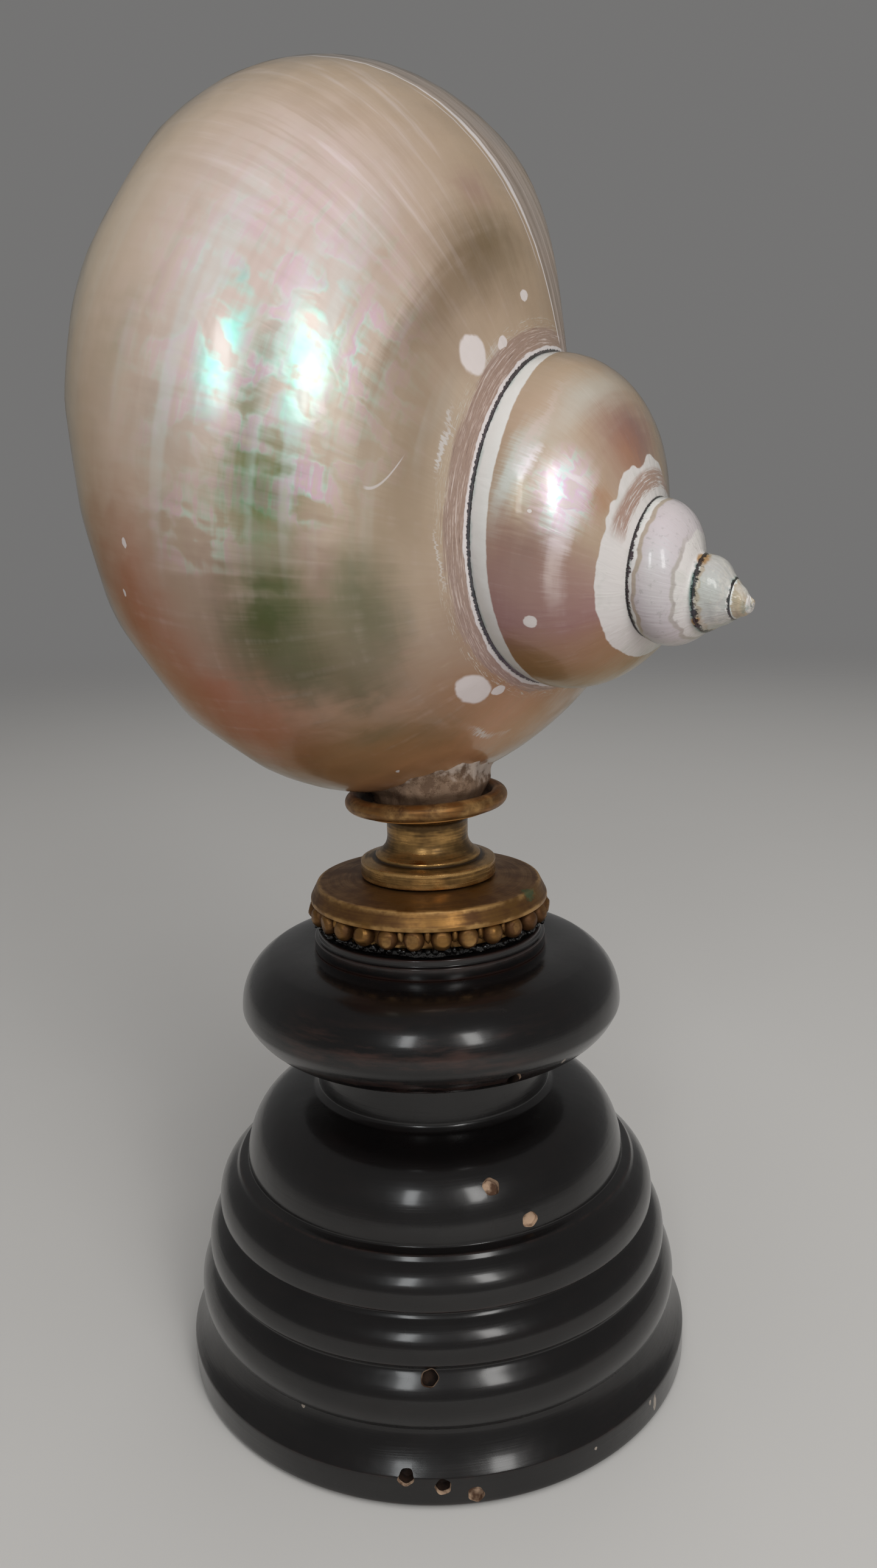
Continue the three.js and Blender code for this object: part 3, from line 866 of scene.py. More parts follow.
        # Pale and dark streaks along the spiral over the front, and pale and dark growth arcs above: painted
        # highlight streaks and glints over the growth texture.
        columns = desk.noise(desk.vector(turn * 0.012, seam * 0.28, 8.0), 1.0, 2.0, 0.5) - 0.5
        plain = desk.vector(turn, seam, 0.0)
        front = self.ellipse(desk, plain, Blot(16, 26, 28, 19), 1.0)
        colour = desk.mix(columns.rise(0.02, 0.16) * front * 0.4, colour, linear(Pearl.ICE.value))
        colour = desk.mix((columns * -1.0).rise(0.02, 0.16) * front * 0.25, colour, linear(Pearl.FAWN.value))
        arcs = desk.noise(desk.vector(turn * 0.42, seam * 0.045, 4.0), 1.0, 3.0, 0.55) - 0.5
        upper = self.ellipse(desk, plain, Blot(52, 31, 22, 17), 1.0)
        colour = desk.mix(arcs.rise(0.02, 0.16) * upper * 0.3, colour, linear(Pearl.PEARL.value))
        colour = desk.mix((arcs * -1.0).rise(0.02, 0.16) * upper * 0.3, colour, linear(Pearl.FAWN.value))
        tone = growth * 0.4 + spiral * 0.35 + threads * 0.1
        colour = desk.mix(tone.rise(0.0, 0.3) * 0.22, colour, linear(Pearl.PETAL.value))
        colour = desk.mix((tone * -1.0).rise(0.0, 0.3) * 0.16, colour, linear(Pearl.ROSEWOOD.value))

        colour, porcelain, seam_line = self.with_bands(desk, colour, turn, seam, edge, place)
        pearl = 1.0 - porcelain.least(1.0)
        grain = desk.group(fine_pits(), Vector=place, Spacing=2.5)
        waves = desk.noise(place, 0.2, 2.0, 0.4)
        roughness = 0.31 + (waves - 0.5) * 0.2 + flakes * 0.1 + porcelain.least(1.0) * 0.14
        roughness = roughness.most(0.28)
        film = desk.noise(desk.vector(turn * 0.07, seam * 0.22, 5.0), 1.0, 2.0, 0.5)
        gloss = 0.2 + film.rise(0.3, 0.7) * 0.45
        worn = turn.fall(-1000.0, -900.0)
        normal = desk.bump(waves, 0.12)
        normal = desk.bump(flakes, 0.07, normal)
        normal = desk.bump(growth + threads * 0.2, 0.014, normal)
        normal = desk.bump(grain["Cloud"] * worn, 0.3, normal)
        normal = desk.bump(1.0 - seam_line, 0.16, normal)
        desk.shader(
            Base_Color=colour, Metallic=pearl * (0.18 + reflection_strips * 0.3), Roughness=roughness, IOR=1.55,
            Coat_Weight=gloss * (1.0 - reflection_strips * 0.6), Coat_Roughness=0.085, Coat_IOR=1.5,
            Thin_Film_Thickness=540.0, Thin_Film_IOR=1.4, Normal=normal,
        )
        return material

    @staticmethod
    def with_painted_reflections(desk: Desk, colour: Signal, turn: Signal, seam: Signal, growth: Signal,
                    spiral: Signal, flakes: Signal) -> tuple[Signal, Signal]:
        """Paints the green, aqua and pink of reflections where the highlights fall on the nacre.

        Inside soft ovals, a noise that is long across the growth lines picks the tint, and the
        growth lines break it into plates. The aqua bands are painted reflections of two windows.

        Args:
            desk: The material's desk.
            colour: The nacre's colour.
            turn: Turn at the point.
            seam: Distance from the suture.
            growth: Noise along the growth lines, around 0.
            spiral: Noise along the spiral, around 0.
            flakes: Noise of plates, around 0.

        Returns:
            The colour, and the mask of the painted window reflections.
        """
        tint = desk.ramp(flakes + spiral * 0.9, [
            (-0.3, linear(Pearl.LEAF.value)), (-0.16, linear(Pearl.ICE.value)),
            (-0.07, linear(Pearl.AQUA.value)), (0.0, linear(Pearl.ICE.value)),
            (0.08, linear(Pearl.ORCHID.value)), (0.2, linear(Pearl.PETAL.value)),
        ])
        plates = (growth * 0.45 + flakes * 1.3 + spiral * 0.35).rise(-0.16, 0.12)
        broken = desk.vector(turn + growth * 6.0, seam + spiral * 1.2, 0.0)
        for spot, strength in (
            (Blot(20, 25, 28, 14), 0.42), (Blot(27, 16.4, 9, 1.6), 0.5), (Blot(0, 18.4, 6, 3.2), 0.6),
            (Blot(-336, 10.0, 16, 3.6), 0.75), (Blot(-10, 30, 6, 5), 0.3),
        ):
            mask = NacreFinish.ellipse(desk, broken, spot, 0.9, strength)
            colour = desk.mix(mask * plates, colour, tint)
        reflection_strips = plates * 0.0
        # The two aqua bands are painted reflections of the windows.
        broken = desk.vector(turn + growth * 9.0, seam + spiral * 1.4, 0.0)
        for spot in (Blot(17, 29.3, 11, 2.2), Blot(20, 20.9, 13, 2.5)):
            mask = NacreFinish.ellipse(desk, broken, spot, 0.8)
            reflection_strips = reflection_strips.most(mask * plates)
        colour = desk.mix(reflection_strips, colour, linear(Pearl.AQUA.value))
        return colour, reflection_strips

    @staticmethod
    def ellipse(desk: Desk, where: Signal, spot: "Patch | Blot", blur: float, strength: float = 1.0) -> Signal:
        """A soft oval mask: its strength in the middle, 0 where the scaled distance passes 1 + blur / 2.

        Args:
            desk: The material's desk.
            where: A vector of the turn and the distance from the suture at the point.
            spot: Where the oval lies and how far it reaches.
            blur: Width of its soft edge, as a share of its reach.
            strength: Value in the middle.

        Returns:
            The mask.
        """
        scaled = desk.node("ShaderNodeVectorMath", operation="MULTIPLY_ADD")
        across, down = 1 / spot.half_turn, 1 / spot.half_width
        for target, value in zip(scaled.inputs, (where, (across, down, 0.0),
                                                 (-spot.turn * across, -spot.seam * down, 0.0))):
            desk.feed(target, value)
        reach = desk.node("ShaderNodeVectorMath", operation="LENGTH")
        desk.tree.links.new(scaled.outputs["Vector"], reach.inputs[0])
        return Signal(desk, reach.outputs["Value"]).fall(1.0 - blur, 1.0 + blur / 2, strength)

    def with_bands(self, desk: Desk, colour: Signal, turn: Signal, seam: Signal, edge: Signal,
                   place: Signal) -> tuple[Signal, Signal, Signal]:
        """Lays the layers along the sutures, the spots, and the lip crease with a painted highlight over the nacre.

        Args:
            desk: The material's desk.
            colour: The nacre's colour.
            turn: Turn at the point.
            seam: Distance from the suture with the older whorl.
            edge: Distance from the suture with the younger whorl.
            place: The point in millimetres.

        Returns:
            The colour, how much porcelain layer covers the nacre, and the mask of the dark suture.
        """
        wobble = desk.noise(place, 0.35, 3.0, 0.6) - 0.5
        jitter = desk.noise(place, 1.6, 3.0, 0.6) - 0.5
        near = seam + wobble * 0.5 + jitter * 0.16
        below = edge + wobble * 0.5 + jitter * 0.14
        striae = desk.noise(desk.vector(turn * 0.07, seam * 4.6, 0.0), 1.0, 4.0, 0.7, 0.3)
        hairs = desk.noise(desk.vector(turn * 0.3, seam * 9.0, 6.0), 1.0, 3.0, 0.6, 0.5)
        body = turn.rise(-245.0, -225.0)

        # Striated mauve band of the body whorl, and the thin white line between it and the suture
        reach = desk.curve(turn, [(-260, 2.0), (-100, 1.4), (-62, 1.8), (-40, 2.6), (0, 3.3), (60, 3.3), (100, 2.8)])
        fringe = (near + (striae - 0.5) * 2.4 - reach).fall(-0.35, 0.3)
        band = body * fringe
        stripes = desk.ramp(striae * 0.75 + hairs * 0.25, [
            (0.34, linear("#6e584f")), (0.43, linear("#9c8476")), (0.5, linear("#8b7468")),
            (0.56, linear("#b09b90")), (0.63, linear("#c6b8b1")), (0.7, linear("#ddd5d0")),
        ])
        colour = desk.mix(band * 0.9, colour, stripes)
        stray = body * abs(near - reach - 0.5).fall(0.2, 0.9) * (hairs + (striae - 0.5) * 0.6).rise(0.57, 0.66)
        colour = desk.mix(stray * 0.75, colour, linear("#c6c2b8"))
        breadth = desk.noise(desk.vector(turn * 0.12, 0.0, 2.0), 1.0, 2.0, 0.5)
        white_line = body * (near - 0.42 - breadth * 0.6).fall(-0.06, 0.08)
        colour = desk.mix(white_line, colour, linear("#cfc8c6"))
        porcelain = band * 0.6 + white_line * 0.3

        # White layer on the upper side of the older whorls
        width = desk.curve(turn, [
            (-1500, 0.3), (-1200, 0.5), (-960, 0.9), (-760, 2.9), (-640, 3.1), (-520, 2.6),
            (-430, 3.0), (-385, 3.9), (-350, 4.1), (-325, 4.3), (-300, 4.6), (-262, 4.2), (-240, 0.6),
        ])
        old = turn.fall(-560.0, -500.0)
        ragged = desk.noise(desk.vector(turn * 0.06, 0.0, 7.0), 1.0, 1.0, 0.5) - 0.5
        reachy = turn.rise(-352.0, -335.0) * 4.2 + old * 1.5
        width_of_cap = width
        cap = (1.0 - body) * (near - width + ragged * reachy + wobble * 0.3).fall(-0.1, 0.1)
        stain = desk.noise(place, 0.5, 3.0, 0.6)
        white = desk.mix(stain.rise(0.45, 0.8) * 0.5, linear(Pearl.WHITE.value), linear("#b6b6ad"))
        colour = desk.mix(cap, colour, white)
        streak = cap * (near + (striae - 0.5) * 2.2).rise(1.0, 1.6) * near.fall(2.9, 3.7) * turn.rise(-345.0, -330.0)
        colour = desk.mix(streak * striae.rise(0.3, 0.52) * 0.85, colour, linear("#94725f"))
        porcelain = porcelain + cap

        # White layer on the lower side, which the next whorl covered until it was ground
        width = desk.curve(turn, [
            (-1500, 0.15), (-1040, 0.25), (-980, 0.6), (-720, 0.85), (-560, 1.2), (-480, 2.0),
            (-400, 2.3), (-330, 2.3), (-290, 1.8), (-262, 1.2),
        ])
        hem = (below - width + old * ragged * 1.2).fall(-0.1, 0.1)
        greenish = below.fall(0.15, 0.7) * stain.rise(0.4, 0.62)
        layer = desk.mix(greenish * 0.55, linear("#d3d2ce"), linear("#93a8a0"))
        colour = desk.mix(hem, colour, layer)
        beige = (1.0 - hem) * (below - width - 0.5 + old * ragged * 1.6).fall(-0.1, 0.15) * old
        colour = desk.mix(beige * 0.8, colour, linear("#a3957f"))
        porcelain = porcelain + hem + old * 0.8

        # Stains of the oldest sutures and the worn tip
        oldest = turn.fall(-700.0, -640.0)
        ledge = oldest * abs(near - width_of_cap - 0.25 + ragged * reachy).fall(0.1, 0.4) * turn.rise(-960.0, -900.0)
        colour = desk.mix(ledge * 0.6, colour, linear("#9b9484"))
        blue = oldest * near.fall(0.3, 1.2) * desk.noise(place, 0.42, 2.0, 0.5).rise(0.45, 0.56)
        colour = desk.mix(blue * 0.85, colour, linear(Pearl.VERDIGRIS.value))
        for beside, pit in (
            (edge, Blot(-1022, 0.2, 16, 0.9)), (seam, Blot(-664, 0.3, 13, 0.75)),
            (edge, Blot(-1126, 0.1, 9, 0.7)), (seam, Blot(-768, 0.2, 9, 0.75)),
        ):
            mask = self.ellipse(desk, desk.vector(turn + wobble * 12, beside + jitter * 0.6, 0.0), pit, 0.5)
            colour = desk.mix(mask * 0.9, colour, linear(Pearl.OCHRE.value))
        scuff = old * jitter.rise(0.06, 0.2)
        colour = desk.mix(scuff * 0.3, colour, linear("#85817a"))
        chalky = turn.fall(-1000.0, -960.0) * (jitter + wobble).rise(0.0, 0.2)
        colour = desk.mix(chalky * 0.4, colour, linear("#cfcac0"))

        # Spots of white layer, a curled scratch, and the crease before the lip with a painted highlight along its
        # crest
        outside = 1.0 - desk.mark("inside")
        shaken = desk.vector(turn + wobble * 3.0, seam + wobble * 1.3, 0.0)
        for blot in self.blots:
            mask = self.ellipse(desk, shaken, blot, 0.14) * outside
            colour = desk.mix(mask, colour, linear(Pearl.PORCELAIN.value))
            porcelain = porcelain + mask
        bend = (seam - 12.4) * (1 / 3.6)
        scratch = abs(turn - 3.0 - bend * bend * 9.0).fall(0.15, 0.45) * seam.rise(8.6, 9.2) * seam.fall(12.2, 12.8)
        colour = desk.mix(scratch * 0.8, colour, linear(Pearl.PORCELAIN.value))
        crease = 92.8 - seam * 0.27 - seam * seam * 0.0062
        past = turn - crease + wobble * 0.6
        layers = desk.noise(desk.vector(past * 0.55, seam * 0.03, 0.0), 1.0, 3.0, 0.6)
        shelf = desk.mix(layers.rise(0.38, 0.62), linear("#7f7068"), linear("#b3a59e"))
        colour = desk.mix(past.rise(0.0, 0.9) * (0.75 - past.rise(5.0, 16.0) * 0.4), colour, shelf)
        # Pale lines along the crease's crest: a painted highlight.
        broad = 0.45 + self.ellipse(desk, desk.vector(seam, turn, 0.0), Blot(24, 84, 9, 12), 0.9) * 0.7
        crease_highlight = abs(past).fall(broad * 0.4, broad) * seam.rise(1.0, 2.0) * seam.fall(44.0, 50.0)
        crease_highlight = crease_highlight.most(abs(past + 2.0).fall(0.1, 0.35) * seam.rise(9.0, 13.0) * seam.fall(30.0, 36.0) * 0.6)
        colour = desk.mix(crease_highlight * 0.85, colour, linear("#e6dfde"))

        # The dark suture itself, a ragged line with paler fibres in it
        ink = desk.noise(desk.vector(turn * 0.22, 0.0, 0.0), 1.0, 3.0, 0.6)
        fray = desk.noise(desk.vector(turn * 0.9, seam.most(edge * -1.0) * 0.3, 1.0), 1.0, 3.0, 0.7) - 0.5
        size = turn.rise(-1200.0, -300.0)
        thick = 0.01 + ink * 0.17 + oldest * (0.12 + ink * 0.34) + body * 0.2
        torn = 0.45 + oldest * 0.75 + body * 0.25
        ragged_line = fray * torn + oldest * jitter * 1.5
        dark = (seam + ragged_line - thick).fall(-0.05, 0.06)
        dark = dark.most((edge + ragged_line - thick * 0.8).fall(-0.05, 0.06))
        gone = turn.rise(-1330.0, -1290.0)
        seam_line = dark * (ink + fray * 0.7).rise(0.2, 0.36) * gone
        fibre = (hairs + fray * 0.4).rise(0.5, 0.66) * turn.rise(-640.0, -560.0)
        tint = desk.mix(oldest * 0.8, linear(Pearl.SEAM.value), linear("#1d150e"))
        tint = desk.mix(fibre * 0.7, tint, linear("#6a5a5c"))
        colour = desk.mix(seam_line * 0.94, colour, tint)
        return colour, porcelain, seam_line


@dataclass(frozen=True)
class WoodFinish:
    """Black polish on turned wood, rubbed brown on its crests."""

    black: str = "#0b0909"
    rubbed: str = "#3a2620"
    dust: str = "#a09488"
    roughness: float = 0.27
    chip_places: tuple[tuple[float, float, float, float], ...] = (
        (52.6, 2.7, 0.7, 1.1), (50.4, 3.4, 0.4, 0.4), (41.0, 48.1, 0.8, 0.35), (-31.0, 8.6, 0.5, 0.3),
        (33.0, 3.0, 0.35, 0.25), (12.0, 45.6, 0.5, 0.2),
    )

    def material(self) -> bpy.types.Material:
        """Builds the finish.

        Returns:
            The material.
        """
        material, desk = new_material("ebonised_wood")
        place = desk.place()
        lines = desk.group(lathe_lines(), Vector=place, Fineness=1.9, Drift=1.6)["Lines"]
        fine = desk.group(lathe_lines(), Vector=place, Fineness=5.5, Drift=3.0)["Lines"]
        pits = desk.group(fine_pits(), Vector=place, Spacing=9.0)
        worn = desk.group(edge_wear(), Vector=place, Crest=desk.mark("crest"), Reach=0.55)["Worn"]
        specks = desk.group(dust_specks(), Vector=place, Spacing=3.4, Share=0.06, Size=0.1)["Specks"]
        across, depth, height = desk.split(place)
        on_bun = height.rise(43.0, 46.0) * height.fall(52.0, 56.0) * depth.fall(-20.0, -12.0)
        front = on_bun * across.rise(-26.0, -12.0) * across.fall(2.0, 18.0)
        smears = desk.noise(desk.vector(across * 0.1, depth * 0.1, height * 0.6), 1.0, 4.0, 0.65)
        rubbed = smears.rise(0.44, 0.7) * (0.04 + front * 0.9) * (0.5 + lines * 0.5)
        colour = desk.mix(rubbed, linear(self.black), linear(self.rubbed))
        colour = desk.mix(worn * 0.3, colour, linear(self.rubbed))
        chips = self.chips(desk, place)
        specks = specks.most(chips)
        colour = desk.mix(specks * 0.8, colour, linear(self.dust))
        roughness = self.roughness + (pits["Cloud"] - 0.5) * 0.16 + rubbed * 0.1 + specks * 0.3
        normal = desk.bump(pits["Cloud"], 0.12)
        normal = desk.bump(lines, 0.02, normal)
        normal = desk.bump(fine, 0.006, normal)
        desk.shader(Base_Color=colour, Roughness=roughness, Specular_IOR_Level=0.35,
                    Coat_Weight=0.3 + pits["Cloud"] * 0.5, Coat_Roughness=0.13, Normal=normal)
        return material

    def chips(self, desk: Desk, place: Signal) -> Signal:
        """The pale chips, each an uneven oval at an angle from the front, toward +X, and a height."""
        x, y, z = desk.split(place)
        angle = desk.math("ARCTAN2", x, y * -1.0) * math.degrees(1)
        stir = desk.noise(place, 1.1, 3.0, 0.6) - 0.5
        found = angle * 0.0
        for turn, height, half_turn, half_height in self.chip_places:
            across = (angle - turn + stir * half_turn * 1.6) * (1 / half_turn)
            down = (z - height + stir * half_height * 1.6) * (1 / half_height)
            found = found.most((across * across + down * down).fall(0.7, 1.1))
        return found


@dataclass(frozen=True)
class RawWoodFinish:
    """Wood that shows in the beetle holes, paler at their rims; a near-black copy is the painted shade deep inside.
    """

    name: str = "raw_wood"
    pale: str = "#a98f78"
    dark: str = "#4a3426"

    def material(self) -> bpy.types.Material:
        """Builds the finish.

        Returns:
            The material.
        """
        material, desk = new_material(self.name)
        place = desk.place()
        pits = desk.group(fine_pits(), Vector=place, Spacing=1.6)
        colour = desk.mix(pits["Cloud"].rise(0.4, 0.65), linear(self.pale), linear(self.dark))
        desk.shader(Base_Color=colour, Roughness=0.85, Normal=desk.bump(pits["Grain"], 0.05))
        return material

# Lays the floor disc just under the stand.

@dataclass(frozen=True)
class BrassFinish:
    """Aged brass: how bright it is, how brown its patina, and how rough."""

    name: str
    bright: str = "#b98f58"
    patina: str = "#5e412a"
    cover: float = 0.5
    roughness: float = 0.32
    fineness: float = 2.6
    polish_and_highlight_up_to: float = 0.0

    def material(self) -> bpy.types.Material:
        """Builds the finish.

        Returns:
            The material.
        """
        material, desk = new_material(self.name)
        place = desk.place()
        x, y, z = desk.split(place)
        lines = desk.group(lathe_lines(), Vector=place, Fineness=self.fineness, Drift=1.4)["Lines"]
        pits = desk.group(fine_pits(), Vector=place, Spacing=3.4)
        hollow = desk.mark("hollow")
        worn = desk.group(edge_wear(), Vector=place, Crest=desk.mark("crest"), Reach=0.7)["Worn"]
        # Patina from mottling, lathe lines and the hollow mark; on the beads the hollow mark is painted shade.
        shade = (pits["Cloud"] - 0.5) * 1.6 + (lines - 0.5) * 0.9 + hollow * 0.5
        # Below the given height the patina is left off, so the cup's lip is bright: polish and a painted highlight
        # along the lip.
        cover = (shade + self.cover).rise(0.1, 0.95) * z.rise(self.polish_and_highlight_up_to, self.polish_and_highlight_up_to + 0.1)
        colour = desk.mix(cover, linear(self.bright), linear(self.patina))
        worn = worn * pits["Cloud"].rise(0.35, 0.6)
        colour = desk.mix(worn * 0.7, colour, linear("#cfa366"))
        # Near black where the hollow mark is high: in the turned hollows, and as painted shade on the sides and
        # undersides of the beads.
        grime_and_shade = (hollow + (pits["Grain"] - 0.5)).rise(0.7, 1.5)
        colour = desk.mix(grime_and_shade * 0.8, colour, linear("#1a110b"))
        off = desk.vector(x - 12.6, y + 7.6, (z - 65.8) * 1.4)
        distance = desk.math("SQRT", desk.math("ADD", *(self.squares(desk, off))))
        green = (distance + (pits["Cloud"] - 0.5) * 3.0 + (pits["Grain"] - 0.5) * 2.0).fall(0.6, 1.5)
        colour = desk.mix(green * 0.85, colour, linear("#2c4630"))
        metal = 1.0 - (green * 0.7).most(grime_and_shade * 0.6).most(cover * 0.32)
        roughness = self.roughness + cover * 0.14 + (pits["Grain"] - 0.5) * 0.12 - worn * 0.08 + green * 0.3
        normal = desk.bump(lines, 0.03)
        normal = desk.bump(pits["Cloud"], 0.05, normal)
        normal = desk.bump(pits["Grain"], 0.012, normal)
        desk.shader(Base_Color=colour, Metallic=metal, Roughness=roughness, Normal=normal)
        return material

    @staticmethod
    def squares(desk: Desk, vector: Signal) -> tuple[Signal, Signal]:
        """The square of a vector's flat length and of its height."""
        x, y, z = desk.split(vector)
        return x * x + y * y, z * z


@dataclass(frozen=True)
class PitchFinish:
    """Glossy black pitch with pale specks that are partly dust and partly painted glints."""

    black: str = "#080707"
    dust: str = "#aaa39c"

    def material(self) -> bpy.types.Material:
        """Builds the finish.

        Returns:
            The material.
        """
        material, desk = new_material("black_pitch")
        place = desk.place()
        pits = desk.group(fine_pits(), Vector=place, Spacing=0.9)
        # Pale specks: dust, and painted glints on the crumbs.
        specks = desk.group(dust_specks(), Vector=place, Spacing=0.8, Share=0.3, Size=0.26)["Specks"]
        colour = desk.mix(specks * 0.7, linear(self.black), linear(self.dust))
        normal = desk.bump(pits["Cloud"], 0.25)
        roughness = 0.12 + (pits["Grain"] - 0.5) * 0.1 + specks * 0.4
        desk.shader(Base_Color=colour, Roughness=roughness, Normal=normal)
        return material


@dataclass(frozen=True)
class CementFinish:
    """Pale lumpy cement, mottled brown, darker towards its bottom and paler towards its top and its +X side."""

    pale: str = "#7d6653"
    brown_tone: str = "#4f3826"
    crest: str = "#b3a498"

    def material(self) -> bpy.types.Material:
        """Builds the finish.

        Returns:
            The material.
        """
        material, desk = new_material("pale_cement")
        place = desk.place()
        pits = desk.group(fine_pits(), Vector=place, Spacing=1.5)
        x, _, z = desk.split(place)
        # Brown mottling, darker towards the bottom of the lump.
        brown_tone = (pits["Cloud"] + (pits["Grain"] - 0.5) * 0.5).fall(0.38, 0.58).most(z.fall(78.2, 79.4) * 0.8)
        colour = desk.mix(brown_tone * 0.75, linear(self.pale), linear(self.brown_tone))
        # Paler towards the top of the lump and toward +X.
        crest = (desk.mark("crest") + (pits["Cloud"] - 0.5) * 1.2 + (x - 3.0) * 0.05).rise(0.7, 1.0)
        colour = desk.mix(crest * 0.8, colour, linear(self.crest))
        normal = desk.bump(pits["Cloud"], 0.16)
        normal = desk.bump(pits["Grain"], 0.06, normal)
        desk.shader(Base_Color=colour, Roughness=0.7, Normal=normal)
        return material


@dataclass(frozen=True)
class FloorFinish:
    """Plain pale studio floor that fades into the backdrop with distance."""

    pale: str = "#c4c2bf"
    fade_from: float = 300.0
    fade_to: float = 1150.0

    def material(self) -> bpy.types.Material:
        """Builds the finish.

        Returns:
            The material.
        """
        material, desk = new_material("studio_floor")
        place = desk.place()
        x, y, _ = desk.split(place)
        pits = desk.group(fine_pits(), Vector=place, Spacing=60.0)
        radius = desk.math("SQRT", x * x + y * y)
        colour = desk.mix(pits["Cloud"] * 0.3, linear(self.pale), linear("#bebbb7"))
        desk.shader(Base_Color=colour, Roughness=0.8, Specular_IOR_Level=0.2,
                    Alpha=radius.fall(self.fade_from, self.fade_to))
        return material


# Sub-assemblies


def dress(piece: bpy.types.Object, node: str, slot: Slot, *materials: bpy.types.Material) -> None:
    """Gives a finished piece its materials and its place in the frame.

    Args:
        piece: The object.
        node: The CAD node that it stands for.
        slot: A material slot name; not used.
        materials: Its materials, in the order of its slots.
    """
    piece.data.materials.clear()
    for material in materials:
        piece.data.materials.append(material)
    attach(piece, "root")
    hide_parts(node)
    low, high = (np.array(corner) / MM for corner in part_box(node))
    LOG.info("%s: %d points, %s to %s mm in CAD", piece.name, len(piece.data.vertices), low.round(1),
             high.round(1))


@dataclass(frozen=True)
class Ring:
    """One stepped ring of the stand: its sharp lower edge and where its bow ends above."""

    radius: float
    height: float
    next_radius: float
    next_height: float


@dataclass(frozen=True)
class Bore:
    """A beetle's flight hole: turn from the front toward +X, place, slope and depth."""

    turn: float
    height: float
    radius: float
    rise: float
    depth: float


